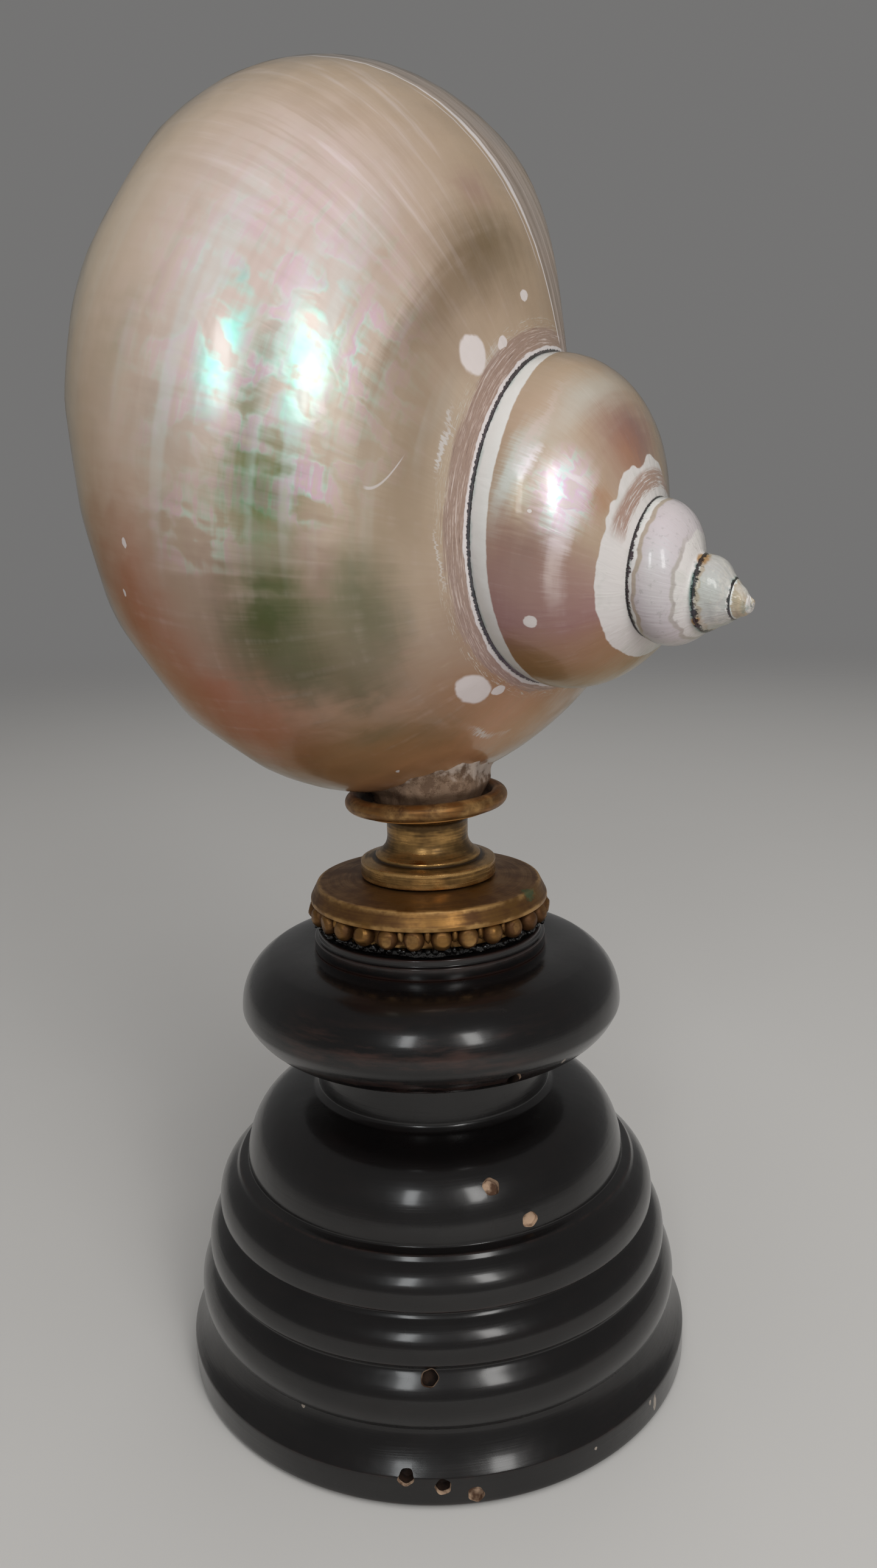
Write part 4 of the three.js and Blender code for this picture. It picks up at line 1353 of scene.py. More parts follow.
@dataclass
class WoodenStand:
    """The turned stand, from its foot to the collar under the brass."""

    foot_radius: float = 34.2
    foot_chamfer: float = 0.7
    foot_side_top: float = 4.2
    foot_hollow: float = -0.1
    rings: tuple[Ring, ...] = (
        Ring(32.3, 9.3, 30.9, 15.3), Ring(31.3, 16.7, 29.0, 21.2), Ring(29.6, 22.4, 27.2, 27.4),
    )
    ring_bow: float = 0.32
    groove_depth: float = 0.35
    groove_height: float = 0.6
    dome_radius: float = 25.6
    dome_bottom: float = 29.4
    dome_side: float = 1.1
    dome_top: float = 37.8
    dome_bow: float = 0.4
    neck_radius: float = 15.6
    neck_fillet: float = 0.7
    bun_bottom: float = 44.6
    bun_ledge: float = 3.6
    bun_radius: float = 25.2
    bun_widest: float = 49.9
    bun_shoulder_radius: float = 21.4
    bun_shoulder: float = 56.6
    bun_bow: float = 0.29
    shoulder_bow: float = 0.12
    collar_bottom: float = 57.3
    collar_radius: float = 15.3
    collar_height: float = 1.7
    collar_step: float = 0.5
    top: float = 59.9
    softness: float = 0.16
    sides: int = 192
    bore_radius: float = 0.95
    bore_sides: int = 28
    bore_rows: tuple[float, ...] = (0, 0, -0.5, -0.2, 0.1, 1.5)
    deep_rows: int = 2
    shallow: float = 1.0
    bores: tuple[Bore, ...] = (
        Bore(24, 47.4, 23.9, 6, 3.0), Bore(16.6, 34.1, 23.5, 45, 0.6), Bore(26.5, 29.9, 25.5, 8, 0.6),
        Bore(-1.8, 15.0, 31.0, 36, 1.6), Bore(-6.7, 4.2, 34.2, 4, 1.8), Bore(0.5, 3.2, 34.2, 0, 1.8),
        Bore(6.9, 1.9, 34.2, 0, 0.7),
    )

    def outline(self) -> Outline:
        """Draws the stand's outline from the middle of its underside to the middle of its top.

        Returns:
            The outline.
        """
        drawn = Outline(0, 0).line_to(self.foot_radius - self.foot_chamfer, 0)
        drawn.line_to(self.foot_radius, self.foot_chamfer).line_to(self.foot_radius, self.foot_side_top)
        lowest = self.rings[0]
        drawn.bow_to(lowest.radius - 2 * self.groove_depth, lowest.height - self.groove_height, self.foot_hollow)
        for ring in self.rings:
            drawn.line_to(ring.radius, ring.height)
            drawn.bow_to(ring.next_radius, ring.next_height, self.ring_bow)
            drawn.line_to(ring.next_radius - self.groove_depth, ring.next_height + self.groove_height)
        drawn.line_to(self.dome_radius, self.dome_bottom - self.dome_side)
        drawn.line_to(self.dome_radius, self.dome_bottom)
        drawn.bow_to(self.neck_radius + self.neck_fillet, self.dome_top, self.dome_bow)
        drawn.line_to(self.neck_radius, self.dome_top + self.neck_fillet)
        drawn.line_to(self.neck_radius, self.bun_bottom)
        drawn.line_to(self.neck_radius + self.bun_ledge, self.bun_bottom + self.groove_height)
        drawn.bow_to(self.bun_radius, self.bun_widest, self.bun_bow)
        drawn.bow_to(self.bun_shoulder_radius, self.bun_shoulder, self.bun_bow)
        drawn.bow_to(self.collar_radius - self.collar_step, self.collar_bottom, self.shoulder_bow)
        drawn.line_to(self.collar_radius, self.collar_bottom)
        drawn.line_to(self.collar_radius, self.collar_bottom + self.collar_height)
        drawn.line_to(self.collar_radius - self.collar_step, self.collar_bottom + self.collar_height)
        return drawn.line_to(self.collar_radius - self.collar_step, self.top).line_to(0, self.top)

    def bore_surface(self, bore: Bore, seed: int) -> Surface:
        """A ragged round plug the shape of one flight hole.

        A ring of points with radius bore_radius (1 + waves) is carried along x from the hole's
        blunt bottom to outside the wood, then tilted by the rise and turned to its place.

        Args:
            bore: The hole.
            seed: Seed of the ragged edge.

        Returns:
            The plug.
        """
        phase = np.random.default_rng(seed).uniform(0, 2 * np.pi, 3)
        around = 2 * np.pi * np.arange(self.bore_sides) / self.bore_sides
        ragged = 1 + 0.05 * np.sin(2 * around + phase[0]) + 0.05 * np.sin(5 * around + phase[1])
        along = np.array([-bore.depth, -bore.depth + 0.12, *self.bore_rows[2:]])
        girth = np.array([0.7, 0.94, 0.96, 0.98, 1.08, 1.12])
        width = self.bore_radius * girth[:, None] * ragged
        own = np.stack([along[:, None] + 0 * around, width * np.cos(around), width * np.sin(around)], axis=-1)
        rise, turn = math.radians(bore.rise), math.radians(bore.turn - 90)
        tilt = np.array(Matrix.Rotation(-rise, 3, "Y"))
        swing = np.array(Matrix.Rotation(turn, 3, "Z"))
        placed = (own @ tilt.T + np.array([bore.radius, 0, bore.height])) @ swing.T
        flat = np.zeros(placed.shape[:2])
        return grid_surface(placed, {"crest": flat, "hollow": flat})

    def shade_deep_rows(self, mesh: bpy.types.Mesh) -> None:
        """Gives the deeper rows of the deep plugs the near-black material, the painted shade inside the holes.

        Args:
            mesh: All plugs in one mesh, each with its quads first in the order of the bores.
        """
        rows = len(self.bore_rows)
        per_bore = (rows - 1) * self.bore_sides
        quads = len(self.bores) * per_bore
        indices = np.zeros(len(mesh.polygons), dtype=np.int32)
        for number, bore in enumerate(self.bores):
            if bore.depth > self.shallow:
                start = number * per_bore
                indices[start:start + self.deep_rows * self.bore_sides] = 1
                cap = quads + number * 2 * self.bore_sides
                indices[cap:cap + self.bore_sides] = 1
        mesh.polygons.foreach_set("material_index", indices)

    def build(self) -> bpy.types.Object:
        """Turns the stand, drills the flight holes and dresses it.

        Returns:
            The finished piece.
        """
        wood, raw = WoodFinish().material(), RawWoodFinish().material()
        # Near-black wood for the deeper rows of the deep holes: painted shade.
        deep = RawWoodFinish("deep_hole_shade", "#2a1c14", "#0d0806").material()
        piece = turned_surface(self.outline().sampled(self.softness), self.sides).to_object("turned_stand")
        piece.data.materials.append(wood)
        plugs = [self.bore_surface(bore, seed) for seed, bore in enumerate(self.bores)]
        plug = plugs[0].joined(*plugs[1:]).to_object("bore_plugs")
        plug.data.materials.append(raw)
        plug.data.materials.append(deep)
        self.shade_deep_rows(plug.data)
        cut = piece.modifiers.new("flight_holes", "BOOLEAN")
        cut.operation, cut.solver, cut.object, cut.material_mode = "DIFFERENCE", "EXACT", plug, "TRANSFER"
        graph = bpy.context.evaluated_depsgraph_get()
        drilled = bpy.data.meshes.new_from_object(piece.evaluated_get(graph), depsgraph=graph)
        piece.modifiers.clear()
        piece.data = drilled
        bpy.data.objects.remove(plug)
        drilled.set_sharp_from_angle(angle=math.radians(50))
        faces = len(drilled.polygons)
        indices = np.zeros(faces, dtype=np.int32)
        drilled.polygons.foreach_get("material_index", indices)
        kept = indices.copy()
        dress(piece, "wooden_stand", Slot.WOOD, wood, raw, deep)
        drilled.polygons.foreach_set("material_index", kept)
        return piece


@dataclass
class PitchBed:
    """Thin bed of pitch, with the crumbs that stand up between the beads."""

    radius: float = 14.8
    bottom: float = 60.2
    top: float = 60.9
    crumb_count: int = 96
    crumb_radius: float = 0.42
    ring_radius: float = 14.95
    seed: int = 11

    def build(self) -> bpy.types.Object:
        """Makes the bed and its crumbs in one mesh.

        Returns:
            The finished piece.
        """
        outline = Outline(0, self.bottom).line_to(self.radius, self.bottom).line_to(self.radius, self.top)
        bed = turned_surface(outline.line_to(0, self.top).sampled(0.12, step=1.2), 168)
        angle = np.arctan2(bed.points[:, 1], bed.points[:, 0])
        ragged = np.sin(9 * angle) + np.sin(5 * angle) + 0.6 * np.sin(31 * angle + 1) + 0.5 * np.sin(53 * angle)
        bed.points[:, :2] *= (1 - 0.012 * (2.2 + ragged))[:, None]
        chance = np.random.default_rng(self.seed)
        crumbs = []
        for index in range(self.crumb_count):
            turn = 2 * np.pi * (index + chance.uniform(-0.4, 0.4)) / self.crumb_count
            ring = self.ring_radius + chance.uniform(-0.5, 0.25)
            size = self.crumb_radius * chance.uniform(0.5, 1.25)
            centre = np.array([ring * np.cos(turn), ring * np.sin(turn), self.top + size * 0.35])
            radii = size * chance.uniform(0.75, 1.3, 3)
            crumbs.append(lump_surface(centre, radii, 9, 6, index, 0.22))
        piece = bed.joined(*crumbs).to_object("pitch_with_crumbs")
        dress(piece, "pitch_bed", Slot.PITCH, PitchFinish().material())
        return piece


@dataclass
class BeadedDisc:
    """Brass disc with a bevelled rim over a ring of beads."""

    underside: float = 61.2
    core_radius: float = 14.2
    bevel_radius: float = 15.6
    bevel_bottom: float = 63.7
    bevel_side: float = 0.5
    rim_radius: float = 14.65
    rim_height: float = 66.1
    top: float = 66.6
    top_radius: float = 8.85
    bead_count: int = 28
    bead_radius: float = 1.32
    bead_ring_radius: float = 14.75
    bead_phase: float = 5.9
    facet_cut: tuple[float, float] = (0.66, 0.9)
    web_share: float = 0.7
    web_radii: tuple[float, float, float] = (0.42, 0.42, 0.8)
    web_height: float = 1.75
    seed: int = 5

    def faceted(self, bead: Surface, centre: np.ndarray, turn: float, chance: np.random.Generator) -> Surface:
        """Wears the outer side of a bead flat, and marks its sides and underside for painted shade.

        Args:
            bead: The round bead.
            centre: Its middle.
            turn: Angle of its place round the disc, in radians.
            chance: Where its cut and lean come from.

        Returns:
            The same bead.
        """
        lean, swing = chance.uniform(-0.25, 0.35), turn + chance.uniform(-0.25, 0.25)
        normal = np.array([math.cos(swing) * math.cos(lean), math.sin(swing) * math.cos(lean), math.sin(lean)])
        limit = self.bead_radius * chance.uniform(*self.facet_cut)
        offset = bead.points - centre
        over = np.maximum(offset @ normal - limit, 0)
        bead.points = bead.points - (over * 0.9)[:, None] * normal
        beside = np.abs(offset @ np.array([-math.sin(turn), math.cos(turn), 0])) / self.bead_radius
        below = -offset[:, 2] / self.bead_radius
        bead.marks["crest"] = np.clip(over / 0.12, 0, 1) * chance.uniform(0.55, 1.0)
        # The bead's sides and underside get the hollow mark, which the brass darkens: painted shade between and under
        # the beads.
        bead.marks["hollow"] = np.clip(np.maximum(beside * 2.2 - 1.1, below * 1.8 - 0.8), 0, 1)
        return bead

    def build(self) -> bpy.types.Object:
        """Makes the disc and its beads in one mesh.

        Returns:
            The finished piece.
        """
        outline = Outline(0, self.underside).line_to(self.core_radius, self.underside)
        outline.line_to(self.core_radius, self.bevel_bottom)
        outline.line_to(self.bevel_radius, self.bevel_bottom)
        outline.line_to(self.bevel_radius, self.bevel_bottom + self.bevel_side)
        outline.line_to(self.rim_radius, self.rim_height)
        outline.line_to(self.top_radius, self.top).line_to(0, self.top)
        disc = turned_surface(outline.sampled(0.1, step=1.0), 168)
        beads = []
        chance = np.random.default_rng(self.seed)
        for index in range(self.bead_count):
            turn = math.radians(self.bead_phase + 360 * index / self.bead_count - 90)
            centre = np.array([self.bead_ring_radius * math.cos(turn), self.bead_ring_radius * math.sin(turn),
                               self.underside + self.bead_radius])
            radii = self.bead_radius * np.array([0.99, 0.99, 1.04])
            bead = lump_surface(centre, radii, 24, 18, 100 + index, 0.02)
            beads.append(self.faceted(bead, centre, turn, chance))
            if chance.uniform() < self.web_share:
                between = turn + math.pi / self.bead_count
                place = np.array([self.bead_ring_radius * math.cos(between),
                                  self.bead_ring_radius * math.sin(between), self.underside + self.web_height])
                web = lump_surface(place, np.array(self.web_radii), 12, 10, 300 + index, 0.14)
                web.marks["crest"] = web.marks["crest"] + 0.5 * (chance.uniform() < 0.4)
                beads.append(web)
        piece = disc.joined(*beads).to_object("beaded_brass_disc")
        dress(piece, "beaded_disc", Slot.BRASS,
              BrassFinish("disc_brass", bright="#9f7643", patina="#5e3f24", cover=0.62, roughness=0.36).material())
        return piece


@dataclass
class BrassSpool:
    """Waisted brass spool on a low stepped foot."""

    bottom: float = 66.9
    foot_radius: float = 8.85
    foot_top: float = 68.9
    flare_radius: float = 6.9
    flare_height: float = 69.7
    flare_edge: float = 0.45
    waist_radius: float = 5.3
    waist_bottom: float = 72.6
    waist_top: float = 74.1
    waist_bow: float = -0.35
    head_radius: float = 6.0
    top: float = 74.8

    def build(self) -> bpy.types.Object:
        """Turns the spool.

        Returns:
            The finished piece.
        """
        outline = Outline(0, self.bottom).line_to(self.foot_radius, self.bottom)
        outline.line_to(self.foot_radius, self.foot_top)
        outline.line_to(self.flare_radius, self.flare_height - self.flare_edge)
        outline.line_to(self.flare_radius, self.flare_height)
        outline.bow_to(self.waist_radius, self.waist_bottom, self.waist_bow)
        outline.line_to(self.waist_radius, self.waist_top)
        outline.bow_to(self.head_radius, self.top, self.waist_bow).line_to(0, self.top)
        piece = turned_surface(outline.sampled(0.09, step=0.7), 144).to_object("waisted_brass_spool")
        dress(piece, "brass_spool", Slot.BRASS,
              BrassFinish("spool_brass", bright="#c79c60", patina="#584224", cover=0.5, roughness=0.24,
                          fineness=3.6).material())
        return piece


@dataclass
class BrassCup:
    """Brass cup with a thin lip under a rolled rim; its own zero is the centre of its underside."""

    lean: float = 2.0
    bottom: float = 75.25
    base_radius: float = 6.5
    lip_radius: float = 8.7
    lip_height: float = 0.5
    roll_centre_radius: float = 9.5
    roll_radius: float = 1.1
    roll_height: float = 1.75
    roll_from: float = -110.0
    roll_to: float = 150.0
    floor: float = 1.0
    mouth_radius: float = 8.2
    floor_radius: float = 7.25

    def build(self) -> bpy.types.Object:
        """Turns the cup and leans it.

        Returns:
            The finished piece.
        """
        outline = Outline(0, 0).line_to(self.base_radius, 0).line_to(self.lip_radius, self.lip_height / 2)
        outline.line_to(self.lip_radius, self.lip_height)
        outline.arc(self.roll_centre_radius, self.roll_height, self.roll_radius, self.roll_from, self.roll_to)
        outline.line_to(self.mouth_radius, self.roll_height).line_to(self.floor_radius, self.floor)
        outline.line_to(0, self.floor)
        cup = turned_surface(outline.sampled(0.07, step=0.6), 144)
        tilt = np.array(Matrix.Rotation(math.radians(-self.lean), 3, "Y"))
        cup.points = cup.points @ tilt.T + np.array([0, 0, self.bottom])
        piece = cup.to_object("rolled_brass_cup")
        # The cup's bare lip below 76 mm is polish and a painted highlight.
        dress(piece, "brass_cup", Slot.BRASS,
              BrassFinish("cup_brass", bright="#ae7c46", patina="#523520", cover=0.72,
                          roughness=0.34, polish_and_highlight_up_to=76.0).material())
        return piece


@dataclass(frozen=True)
class ShellSpiral:
    """The surface of the whorls: a tube whose outline grows along a logarithmic spiral.

    The outline at size 1 is an oval around (section_depth down the axis, section_offset off it).
    Its size is whorl_ratio ** (turn / 360). A point is apex + size * off * (cos(turn) front +
    sin(turn) up) - depth * axis.
    """

    apex: tuple[float, float, float] = (35.6, -22.3, 102.1)
    axis_azimuth: float = -36.2
    axis_dip: float = -12.9
    whorl_ratio: float = 2.28
    section_depth: float = 51.5
    section_offset: float = 9.9
    section_long: float = 34.0
    section_short: float = 28.5
    section_tilt: float = 36.0
    section_lobes: float = -0.1
    inner_rounding: float = 16.0
    axis_slope: float = 0.012
    spire_wear: float = 0.11
    spire_wear_size: float = 0.27
    spire_wear_reach: float = 0.5
    tip_wear: float = 0.04
    tip_wear_size: float = 0.2
    tip_stretch: float = 1.2
    tip_stretch_size: float = 0.09
    worn_cone_start: float = 0.74
    worn_cone_slope: float = 0.78
    worn_cone_end: float = 4.0
    worn_cone_fade: float = 0.35
    worn_cone_blend: float = 0.08
    tip_cut: float = -0.15

    def size(self, turn: np.ndarray) -> np.ndarray:
        """Size of the shell at a turn, against the front of its last whorl."""
        return self.whorl_ratio ** (turn / 360)

    def worn_swell(self, turn: np.ndarray) -> np.ndarray:
        """Share of its full thickness that the tube keeps after polishing.

        One bell curve over the logarithm of the size takes off the spire, and a falling
        exponential takes off the tip.

        Args:
            turn: Turns in degrees.

        Returns:
            The shares.
        """
        size = self.size(turn)
        spire = np.exp(-(np.log(size / self.spire_wear_size) / self.spire_wear_reach) ** 2)
        return 1 - self.spire_wear * spire - self.tip_wear * np.exp(-size / self.tip_wear_size)

    def outline(self, around: np.ndarray, swell: np.ndarray, slope: float | np.ndarray) -> np.ndarray:
        """The tube's outline at size 1.

        An oval with three faint lobes, tilted, whose distance off the axis is rounded into a
        cone of the given slope where the oval would cross the axis.

        Args:
            around: Angle round the tube, in degrees.
            swell: Share of the full thickness.
            slope: Slope of the cone that the tube keeps clear of.

        Returns:
            Distances down and off the axis, in the last place of the array.
        """
        angle, tilt = np.radians(around), math.radians(self.section_tilt)
        lobe = swell * (1 + self.section_lobes * np.cos(3 * angle))
        long, short = lobe * self.section_long * np.cos(angle), lobe * self.section_short * np.sin(angle)
        down = self.section_depth + long * math.cos(tilt) - short * math.sin(tilt)
        off = self.section_offset + long * math.sin(tilt) + short * math.cos(tilt)
        cone = slope * down
        near = np.maximum(self.inner_rounding - np.abs(off - cone), 0)
        off = np.maximum(off, cone) + near ** 2 / (4 * self.inner_rounding)
        return np.stack([down, off], axis=-1)

    def grown(self, turn: np.ndarray, around: np.ndarray, swell: np.ndarray,
              slope: float | np.ndarray) -> np.ndarray:
        """The outline at its grown size, with the tip a little stretched down the axis."""
        size = self.size(turn)
        plain = self.outline(around, swell, slope)
        stretch = self.tip_stretch * np.exp(-size / self.tip_stretch_size)
        return np.stack([size * plain[..., 0] - stretch, size * plain[..., 1]], axis=-1)

    def basis(self) -> tuple[np.ndarray, np.ndarray, np.ndarray]:
        """Unit vectors toward the front, toward the top, and out of the apex along the axis."""
        azimuth, dip = math.radians(self.axis_azimuth), math.radians(self.axis_dip)
        axis = np.array([math.cos(dip) * math.cos(azimuth), math.cos(dip) * math.sin(azimuth), math.sin(dip)])
        front = np.array([0.0, -1.0, 0.0])
        front -= axis * (front @ axis)
        front /= np.linalg.norm(front)
        return front, np.cross(front, axis), axis

    def worn(self, grown: np.ndarray, hidden: np.ndarray) -> np.ndarray:
        """Fills the valleys between the oldest whorls up to the cone that wear has left.

        The cone's distance off the axis is start + slope * down - fade * max(down - end, 0) ** 1.5,
        less 0.8 mm for each millimetre that a point lies hidden past a suture. The larger of
        the two distances is taken, with a soft blend, and the tip is cut blunt.

        Args:
            grown: Distances down and off the axis.
            hidden: How far each point lies past a suture, in millimetres.

        Returns:
            The worn distances.
        """
        down, off = grown[..., 0], grown[..., 1]
        past = np.maximum(down - self.worn_cone_end, 0)
        cone = self.worn_cone_start + self.worn_cone_slope * down - self.worn_cone_fade * past ** 1.5
        gap = np.clip((cone - 0.8 * hidden - off) / self.worn_cone_blend, -40, 40)
        filled = off + self.worn_cone_blend * np.logaddexp(0, gap)
        return np.stack([np.maximum(down, self.tip_cut), np.where(down < 7, filled, off)], axis=-1)

    def points(self, turn: np.ndarray, around: np.ndarray, swell: np.ndarray,
               slope: float | np.ndarray) -> np.ndarray:
        """Points of the tube's surface in millimetres."""
        return self.placed(turn, self.grown(turn, around, swell, slope))

    def placed(self, turn: np.ndarray, grown: np.ndarray) -> np.ndarray:
        """Turns distances down and off the axis into points in millimetres."""
        front, up, axis = self.basis()
        depth, off = grown[..., 0], grown[..., 1]
        angle = np.radians(turn)
        return (np.array(self.apex) + (off * np.cos(angle))[..., None] * front
                + (off * np.sin(angle))[..., None] * up - depth[..., None] * axis)

    def sutures(self, turn: np.ndarray) -> tuple[np.ndarray, np.ndarray]:
        """Where the tube meets the whorl one turn older, by Newton's method on both angles.

        Args:
            turn: Turns in degrees.

        Returns:
            The angle round the tube, and the angle round the older tube, in degrees.
        """
        older = turn - 360
        angles = np.stack([np.full(turn.shape, 120.4), np.full(turn.shape, 40.0)], axis=-1)

        def outer(at: np.ndarray) -> np.ndarray:
            """Outline point of this whorl."""
            return self.grown(turn, at, self.worn_swell(turn), self.axis_slope)

        def inner(at: np.ndarray) -> np.ndarray:
            """Outline point of the older whorl."""
            return self.grown(older, at, self.worn_swell(older), self.axis_slope)

        nudge = 1e-3
        for _ in range(40):
            a, b = angles[..., 0], angles[..., 1]
            miss = outer(a) - inner(b)
            slopes = np.stack([(outer(a + nudge) - outer(a)) / nudge, (inner(b) - inner(b + nudge)) / nudge], axis=-1)
            step = np.linalg.solve(slopes, miss[..., None])[..., 0]
            angles = angles - np.clip(step, -10, 10)
        return angles[..., 0], angles[..., 1]


@dataclass
class TurboShell:
    """The polished shell: older whorls, the last whorl, its rounded lip and its hollow."""

    spiral: ShellSpiral = ShellSpiral()
    lip_turn: float = 100.0
    first_turn: float = -1710.0
    wall: float = 2.6
    mouth_turn: float = 190.0
    taper_turn: float = 70.0
    hollow_start: float = 10.0
    least_swell: float = 0.2
    pillar_slope: float = 0.085
    columella_slope: float = 0.045
    columella_end: float = 57.0
    sides: int = 96
    fine_step: float = 2.0
    coarse_step: float = 3.0
    lip_rows: int = 9
    no_edge: float = 99.0
    wave_height: float = 0.0012
    facet_softness: float = 0.08
    facets: tuple[tuple[float, float, float], ...] = (
        (128, 13, 0.35), (147, 14, 0.85), (171, 15, 0.2), (184, 15, 0.55), (192, 13, 0.45), (214, 15, 0.4),
        (234, 14, 0.3),
    )

    def outer_turns(self) -> np.ndarray:
        """Turns of the outer rows: coarse on the spire and fine on the last whorl and a half."""
        change = self.lip_turn - 540
        coarse = np.arange(self.first_turn, change, self.coarse_step)
        return np.concatenate([coarse, np.arange(change, self.lip_turn + 0.01, self.fine_step)])

    def marks(self, turn: np.ndarray, around: np.ndarray, swell: np.ndarray, slope: float) -> dict:
        """Turn and distances from both sutures for an outer grid.

        Arc lengths run down the outline from 180 degrees. A suture's own arc length is read
        between the two nearest columns.

        Args:
            turn: Turns as a column.
            around: Angles round the tube as a row.
            swell: Shares of the full thickness as a column.
            slope: Slope of the cone along the axis.

        Returns:
            The marks as rows and columns.
        """
        closed = np.append(around, 180.0)[None, :]
        grown = self.spiral.grown(turn, closed, swell, slope)
        lengths = np.hypot(*np.moveaxis(np.diff(grown, axis=1), -1, 0))
        travelled = np.concatenate([np.zeros((len(turn), 1)), np.cumsum(lengths, axis=1)], axis=1)
        arc = travelled[:, -1:] - travelled
        step = 360 / self.sides

        def arc_at(angle: np.ndarray) -> np.ndarray:
            """Arc length at an angle of each row."""
            index = (angle + 180) / step
            low = np.floor(index).astype(int)
            share = index - low
            rows = np.arange(len(angle))
            return arc[rows, low] * (1 - share) + arc[rows, low + 1] * share

        own, _ = self.spiral.sutures(turn[:, 0])
        _, covered = self.spiral.sutures(turn[:, 0] + 360)
        seam = arc[:, :-1] - arc_at(own)[:, None]
        edge = arc_at(covered)[:, None] - arc[:, :-1]
        edge = np.where(turn > self.lip_turn - 360, self.no_edge, edge)
        return {"turn_deg": turn + 0 * around, "seam_mm": seam, "edge_mm": edge, "inside": 0 * seam}

    def surface(self) -> Surface:
        """Makes the closed surface: outer rows, rounded lip rows, then inner rows back to the start.

        The lip rows go half round a circle: their turn is lip_turn - r + r sin(p) and their
        thickness goes from outer to inner as (1 - cos(p)) / 2, for p from 0 to 180 degrees.

        Returns:
            The surface.
        """
        around = (-180 + 360 * np.arange(self.sides) / self.sides)[None, :]
        turn = self.outer_turns()[:, None]
        lip_reach = math.degrees(self.wall / 2 / (self.spiral.section_long * 1.5))
        turn = turn - lip_reach * np.clip((turn - self.lip_turn + 20) / 20, 0, 1)
        ripple = np.sin(np.radians(turn * 7.3)) * np.sin(np.radians(around * 2 + 40))
        swell = self.spiral.worn_swell(turn)
        waved = swell * (1 + self.wave_height * ripple)
        marks = self.marks(turn, around, swell, self.spiral.axis_slope)
        grown = self.spiral.grown(turn, around, waved, self.spiral.axis_slope)
        hidden = np.maximum(-np.minimum(marks["seam_mm"], marks["edge_mm"]), 0)
        outer = self.spiral.placed(turn, np.where(turn[..., None] < -560, self.spiral.worn(grown, hidden), grown))
        outer = self.faceted(outer)

        swing = np.radians(np.linspace(0, 180, self.lip_rows + 2))[1:, None]
        inward = (1 - np.cos(swing)) / 2
        lip = self.lip_turn - lip_reach + lip_reach * np.sin(swing)
        inside_swell = self.inner_swell(lip)
        lip_swell = waved[-1:] * (1 - inward) + inside_swell * inward
        lip_slope = self.spiral.axis_slope * (1 - inward) + self.pillar_slope * inward
        rim = self.spiral.points(lip, around, lip_swell, lip_slope)

        start = self.lip_turn - self.mouth_turn + self.hollow_start
        back = np.arange(self.lip_turn - lip_reach - self.coarse_step, start, -self.coarse_step)[:, None]
        inner = self.spiral.points(back, around, self.inner_swell(back), self.pillar_slope)

        grid = np.concatenate([outer, rim, inner])
        extra = len(rim) + len(inner)
        later = np.concatenate([lip, back]) + 0 * around
        marks["turn_deg"] = np.concatenate([marks["turn_deg"], later])
        marks["seam_mm"] = np.concatenate([marks["seam_mm"], np.repeat(marks["seam_mm"][-1:], extra, axis=0)])
        marks["edge_mm"] = np.concatenate([marks["edge_mm"], np.full(later.shape, self.no_edge)])
        fade = np.concatenate([inward, np.ones((len(back), 1))]) + 0 * around
        marks["inside"] = np.concatenate([marks["inside"], fade])
        return grid_surface(grid, marks)

    def faceted(self, points: np.ndarray) -> np.ndarray:
        """Flattens the faint facets that hand polishing left on the silhouette.

        Each facet looks along (angle in the picture plane, turn toward the camera, depth). Points
        that reach past its plane go back onto it: p - n softplus(p . n - limit).

        Args:
            points: Points of the outer surface.

        Returns:
            The points with flats.
        """
        for angle, toward, depth in self.facets:
            swing, lean = math.radians(angle), math.radians(toward)
            normal = np.array([math.cos(swing) * math.cos(lean), -math.sin(lean), math.sin(swing) * math.cos(lean)])
            reach = points @ normal
            over = np.clip((reach - reach.max() + depth) / self.facet_softness, -40, 40)
            points = points - (self.facet_softness * np.logaddexp(0, over))[..., None] * normal
        return points

    def inner_swell(self, turn: np.ndarray) -> np.ndarray:
        """Share of the full thickness that the hollow takes: a wall less, and tapered inward."""
        start = self.lip_turn - self.mouth_turn + self.hollow_start
        taper = np.sqrt(np.clip((turn - start) / self.taper_turn, 0, None))
        inside = 1 - self.wall / (self.spiral.size(turn) * self.spiral.section_short)
        return inside * np.clip(taper, self.least_swell, 1)

    def columella(self) -> Surface:
        """The pillar along the axis: a slim double cone from the apex inward.

        Returns:
            The surface, with the marks of the inside.
        """
        front, up, axis = self.spiral.basis()
        depth = np.linspace(0.6, self.columella_end, 40)[:, None]
        reach = self.columella_slope * np.minimum(depth, self.columella_end - depth + 0.02)
        angle = 2 * np.pi * np.arange(24) / 24
        grid = (np.array(self.spiral.apex) + (reach * np.cos(angle))[..., None] * front
                + (reach * np.sin(angle))[..., None] * up - (depth + 0 * angle)[..., None] * axis)
        flat = np.zeros(grid.shape[:2])
        return grid_surface(grid, {"turn_deg": flat, "seam_mm": flat + 30, "edge_mm": flat + self.no_edge,
                                   "inside": flat + 1})

    def build(self) -> bpy.types.Object:
        """Makes and dresses the shell.

        Returns:
            The finished piece.
        """
        piece = self.surface().joined(self.columella()).to_object("polished_turbo_shell")
        dress(piece, "turbo_shell", Slot.NACRE, NacreFinish().material())
        return piece


